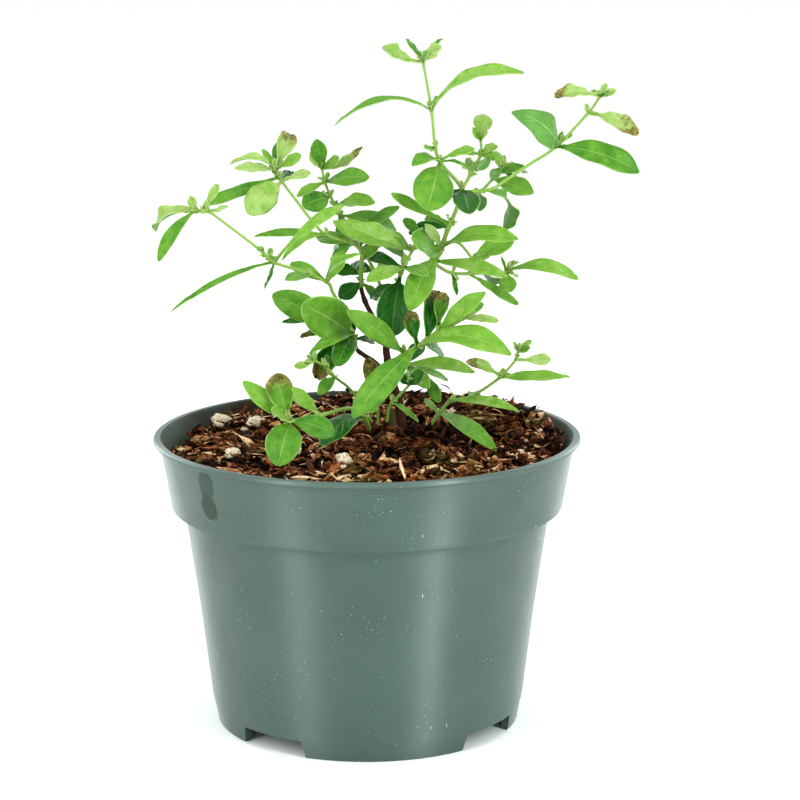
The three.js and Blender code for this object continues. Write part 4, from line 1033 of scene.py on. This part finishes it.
def add_stem(bm, branch, joints, age_at, sides=STEM_SIDES, knobbly=0.0):
    """A tapering stem along a branch's route, a little swollen at its leaf joints, and closed at
    both ends by a point. Gives back its smooth curve."""
    curve = smooth_route(branch.route)
    thick, thin = branch.radii
    last = len(curve) - 1
    rings = [0, *range(last + 1), last]
    frames = []
    across = curve[1] - curve[0]
    across = across.orthogonal().normalized()
    for index, centre in enumerate(curve):
        along = (curve[min(index + 1, last)] - curve[max(index - 1, 0)]).normalized()
        across = (across - along * across.dot(along)).normalized()
        frames.append((centre, along, across, along.cross(across)))

    def radius_at(index):
        radius = thick + (thin - thick) * index / last
        for joint in joints:
            gap = (index - joint * STEPS_PER_JOINT) / JOINT_REACH
            radius *= 1 + JOINT_SWELLING * math.exp(-gap * gap)
        return radius

    def point_at(column, row):
        ring = round(row * (len(rings) - 1))
        index = rings[ring]
        centre, along, across, over = frames[index]
        if ring == len(rings) - 1:
            return place(centre + along * thin * 0.7)
        if ring == 0:
            return place(centre - along * thick * 0.7)
        turn = 2 * math.pi * (round(column * sides) % sides) / sides
        spoke = across * math.cos(turn) + over * math.sin(turn)
        knob = 1 + knobbly * noise.noise(centre * 0.22 + spoke * 1.4)
        return place(centre + spoke * radius_at(index) * knob)

    def value_at(column, row):
        return {"age": age_at(rings[round(row * (len(rings) - 1))] / last)}

    verts = skin(bm, len(rings) - 1, sides, point_at, value_at)
    bmesh.ops.remove_doubles(bm, verts=verts, dist=0.004 * MM)
    return curve


def blade_width(form, width, share):
    """How wide a leaf is at a share of its length: its petiole, then its blade, to a narrow tip."""
    start, shift, blunt = FORMS[form]
    if share <= start:
        return PETIOLE_WIDTH
    spread = ((share - start) / (1 - start)) ** shift
    blade = width * math.sin(math.pi * min(spread, 1)) ** blunt
    return max(PETIOLE_WIDTH * (1 - spread * 3), TIP_WIDTH, blade)


def add_leaf(bm, base, leaf, draw):
    """One leaf from its stem to its tip: a channelled petiole, then a blade that folds a little at
    its midrib, cups and waves, and arches along its length."""
    chord = Vector(leaf.reach)
    length = chord.length
    along = chord.normalized()
    tilt = math.radians(leaf.facing)
    face = Vector((0, -math.sin(tilt), math.cos(tilt)))
    face = (face - along * face.dot(along)).normalized()
    side = along.cross(face)
    twist = math.radians(draw.uniform(-14, 14))
    cup = draw.uniform(-0.25, 0.12)
    fold = draw.uniform(0.12, 0.3)
    waves = draw.uniform(2.0, 3.4)
    wave_height = draw.uniform(0.02, 0.07)
    phase = draw.uniform(0, ROUGH_TURN)
    curl = draw.uniform(-0.05, 0.12)
    sway = draw.uniform(-0.03, 0.03) * length
    # Painted shade: a leaf that hangs towards the viewer is painted a deeper green.
    facing_shade = FACING_SHADE_PER_DEGREE * max(0, min(leaf.facing, 90) - FACING_SHADE_START)
    if leaf.tone == "pale":  # It gets no painted shade, whichever way it hangs, and it is young and crumples easily.
        facing_shade = 0
        wave_height += 0.06
    tone = min(1, max(0, TONES[leaf.tone] - facing_shade + draw.uniform(-0.07, 0.07)))
    dying, from_share = DEAD_PARTS[leaf.state]
    if leaf.state != "sound":  # It shrivels.
        curl, cup, wave_height = 0.3, 0.55, 0.14

    def point_at(column, row):
        share = math.sin(row * math.pi / 2)
        across = 2 * column - 1
        half = blade_width(leaf.form, leaf.width, share) / 2
        rise = 4 * leaf.arch * share * (1 - share) - curl * length * max(0, share - 0.72) ** 1.6
        slope = 4 * leaf.arch * (1 - 2 * share) / length
        upright = (face - along * slope).normalized()
        turned = Matrix.Rotation(twist * share, 3, along)
        up = turned @ upright
        out = turned @ side
        channel = 0.7 if half * 2 < PETIOLE_WIDTH * 1.4 else fold
        lift = half * (channel * abs(across) + cup * across * across)
        wave = wave_height * math.sin(waves * ROUGH_TURN * share + phase)
        lift += wave * half * 2 * across * abs(across)
        centre = base + chord * share + face * rise + side * sway * math.sin(math.pi * share)
        return place(centre + out * across * half + up * lift)

    def value_at(column, row):
        share = math.sin(row * math.pi / 2)
        across = abs(2 * column - 1)
        inward = (share - from_share) / (1 - from_share)
        return {"tone": tone, "dead": dying * (inward + 0.3 * across * across * share)}

    skin(bm, BLADE_ROWS, BLADE_COLUMNS, point_at, value_at)


def add_buds(bm, curve, joints, draw):
    """Tiny young leaves: a pair over each leaf joint, and a tuft of four at the shoot's tip."""
    last = (len(curve) - 1) / STEPS_PER_JOINT
    for joint in joints:
        at_tip = joint > last - 0.1
        buds = 4 if at_tip else 2
        base = along_route(curve, joint)
        behind = along_route(curve, max(0, joint - 0.4))
        ahead = (base - behind).normalized() if joint else Vector((0, 0, 1))
        across = ahead.orthogonal().normalized()
        start = draw.uniform(0, ROUGH_TURN)
        for bud in range(buds):
            spoke = Matrix.Rotation(start + bud * ROUGH_TURN / buds, 3, ahead) @ across
            reach = (ahead * 0.9 + spoke * 1.1 + Vector((0, 0, 0.5))).normalized()
            length = draw.uniform(*(TUFT_LENGTHS if at_tip else BUD_LENGTHS))
            young = Leaf(joint, reach * length, length * 0.42, 0.2, draw.uniform(20, 60), "pale")
            add_leaf(bm, base, young, draw)


def make_shoot(name, branches, stem_green, leaf_sides, seed):
    """A shoot of the plant as two pieces, its stems and its leaves, which stand for one CAD node."""
    draw = random.Random(seed)
    stems = bmesh.new()
    stems.verts.layers.float.new("age")
    blades = bmesh.new()
    blades.loops.layers.uv.new("blade")
    blades.verts.layers.float.new("tone")
    blades.verts.layers.float.new("dead")

    def age_at(share):
        radius = thick + (thin - thick) * share
        return min(1, max(0, (radius - NEW_RADIUS) / (OLD_RADIUS - NEW_RADIUS)))

    for branch in branches:
        thick, thin = branch.radii
        joints = sorted({leaf.at for leaf in branch.leaves})
        curve = add_stem(stems, branch, joints, age_at)
        for leaf in branch.leaves:
            add_leaf(blades, along_route(curve, leaf.at), leaf, draw)
        add_buds(blades, curve, joints, draw)
    bmesh.ops.recalc_face_normals(stems, faces=stems.faces)
    new_piece(name + "_stems", stems, [stem_green], [name])
    leaves = new_piece(name + "_leaves", blades, leaf_sides, [name])
    flesh = leaves.modifiers.new("blade thickness", "SOLIDIFY")
    flesh.thickness = BLADE_THICKNESS * MM
    flesh.offset = -1
    flesh.material_offset = 1


def make_woody_stem():
    """The old stem with its side limbs, and a greener stump beside it, all a little knotted."""
    knots = [1.9, 3.1]
    bark = stem_skin("woody_mint_stem", [
        (0.0, "#3f3d17"), (0.35, "#4f3a1c"), (0.7, "#482615"), (1.0, "#2c160d")],
        roughness=0.7, ridge_mm=0.5)
    bm = bmesh.new()
    bm.verts.layers.float.new("age")
    for limbs, age in ((WOODY_LIMBS, WOODY_AGE), ([STUMP], STUMP_AGE)):
        for limb in limbs:
            add_stem(bm, limb, knots, lambda share: age, sides=WOODY_SIDES, knobbly=0.3)
    bmesh.ops.recalc_face_normals(bm, faces=bm.faces)
    new_piece("woody_stem_bark", bm, [bark], ["woody_stem"])


def make_plant():
    """All leafy shoots, and the woody stem that carries most of them."""
    stem_green = stem_skin("young_mint_stem", [
        (0.0, "#7b9c40"), (0.35, "#6c8a37"), (0.7, "#5c6a2e"), (1.0, "#524426")],
        roughness=0.42, ridge_mm=0.05)
    leaf_sides = [
        leaf_skin("mint_leaf_upper_side", [
            (0.0, "#0a4a00"), (0.25, "#215e0b"), (0.5, "#4c7d1f"), (0.75, "#68922c"),
            (1.0, "#8fa45c")], vein_colour="#a3bd66", vein_strength=0.1, rim_light_strength=0.45,
            roughness=0.42),
        leaf_skin("mint_leaf_underside", [
            (0.0, "#2f5a28"), (0.25, "#3f6d2c"), (0.5, "#527f35"), (0.75, "#648c42"),
            (1.0, "#7b9a5a")], vein_colour="#a3bd7a", vein_strength=0.22, rim_light_strength=0.1,
            roughness=0.6),
    ]
    for seed, (name, branches) in enumerate(SHOOTS.items(), start=1):
        make_shoot(name, branches, stem_green, leaf_sides, seed)
    make_woody_stem()


# ---------------------------------------------------------------- floor, light and camera

def make_floor():
    """White paper sweep: matt and a little cloudy, with the pot's faint shadow on it."""
    material, tree = new_material("white_paper_sweep")
    add(tree, "OutputMaterial", {"Surface": add(tree, "BsdfPrincipled", {
        "Base Color": add(tree, "ValToRGB", {"Fac": mottling(tree, 30)},
                          stops=[(0.0, "#f6f6f5"), (1.0, "#fafafa")]),
        "Roughness": 0.9})})
    bm = bmesh.new()
    bmesh.ops.create_grid(bm, x_segments=4, y_segments=4, size=6)
    mesh = bpy.data.meshes.new("floor")
    bm.to_mesh(mesh)
    bm.free()
    mesh.materials.append(material)
    floor = bpy.data.objects.new("floor", mesh)
    bpy.context.scene.collection.objects.link(floor)


# The soft boxes: where each stands in metres, its width and its watts. All are a metre high, aimed
# at the pot's middle, and a little cool.
SOFT_BOXES = {
    "top_light": ((0, -0.1, 1.5), 1.0, 4),
    "left_light": ((-0.78, -0.8, 0.52), 0.3, 8),
    "right_light": ((0.76, -0.86, 0.52), 0.16, 12),
    "left_rim_light": ((-0.74, 0.92, 0.52), 0.3, 7),
    "right_rim_light": ((0.7, 0.94, 0.52), 0.26, 5.5),
}


def make_light():
    """A bright white room, which lights the plant from all sides, and the soft boxes, whose streaks
    show on the pot."""
    world = bpy.data.worlds.new("studio")
    world.use_nodes = True
    sky = world.node_tree.nodes["Background"]
    sky.inputs["Color"].default_value = (1, 1, 1, 1)
    sky.inputs["Strength"].default_value = 1.05
    bpy.context.scene.world = world
    bpy.context.scene.view_settings.view_transform = "Standard"
    middle = Vector((POT_AXIS.x, POT_AXIS.y, 0.12))
    for name, (where, width, watts) in SOFT_BOXES.items():
        light = bpy.data.lights.new(name, "AREA")
        light.shape = "RECTANGLE"
        light.size = width
        light.size_y = 1.0
        light.energy = watts
        light.color = (0.86, 0.97, 1.0)
        lamp = bpy.data.objects.new(name, light)
        lamp.location = where
        lamp.rotation_euler = (Vector(where) - middle).to_track_quat("Z", "Y").to_euler()
        bpy.context.scene.collection.objects.link(lamp)


def make_camera():
    """The photo's camera, fitted to the outlines of the pot's lip, collar and base: it stands 0.9066 m
    in front of the pot's axis and 0.2046 m over its rim, and looks down by about 12 degrees."""
    camera = bpy.data.cameras.new("camera")
    camera.sensor_width = 36
    camera.lens = 117
    camera.clip_start = 0.05
    camera.clip_end = 30
    view = bpy.data.objects.new("camera", camera)
    forward = Vector((0.012659, 0.978119, -0.207664))
    upward = Vector((0.002687, 0.207647, 0.978201))
    turn = Matrix((forward.cross(upward), upward, -forward)).transposed()
    stand = Vector((POT_AXIS.x, POT_AXIS.y - 0.9066, RIM_HEIGHT + 0.2046))
    view.matrix_world = Matrix.Translation(stand) @ turn.to_4x4()
    bpy.context.scene.collection.objects.link(view)
    bpy.context.scene.camera = view


make_pot()
make_fines()
make_bark()
make_perlite()
make_plant()
make_floor()
make_light()
make_camera()
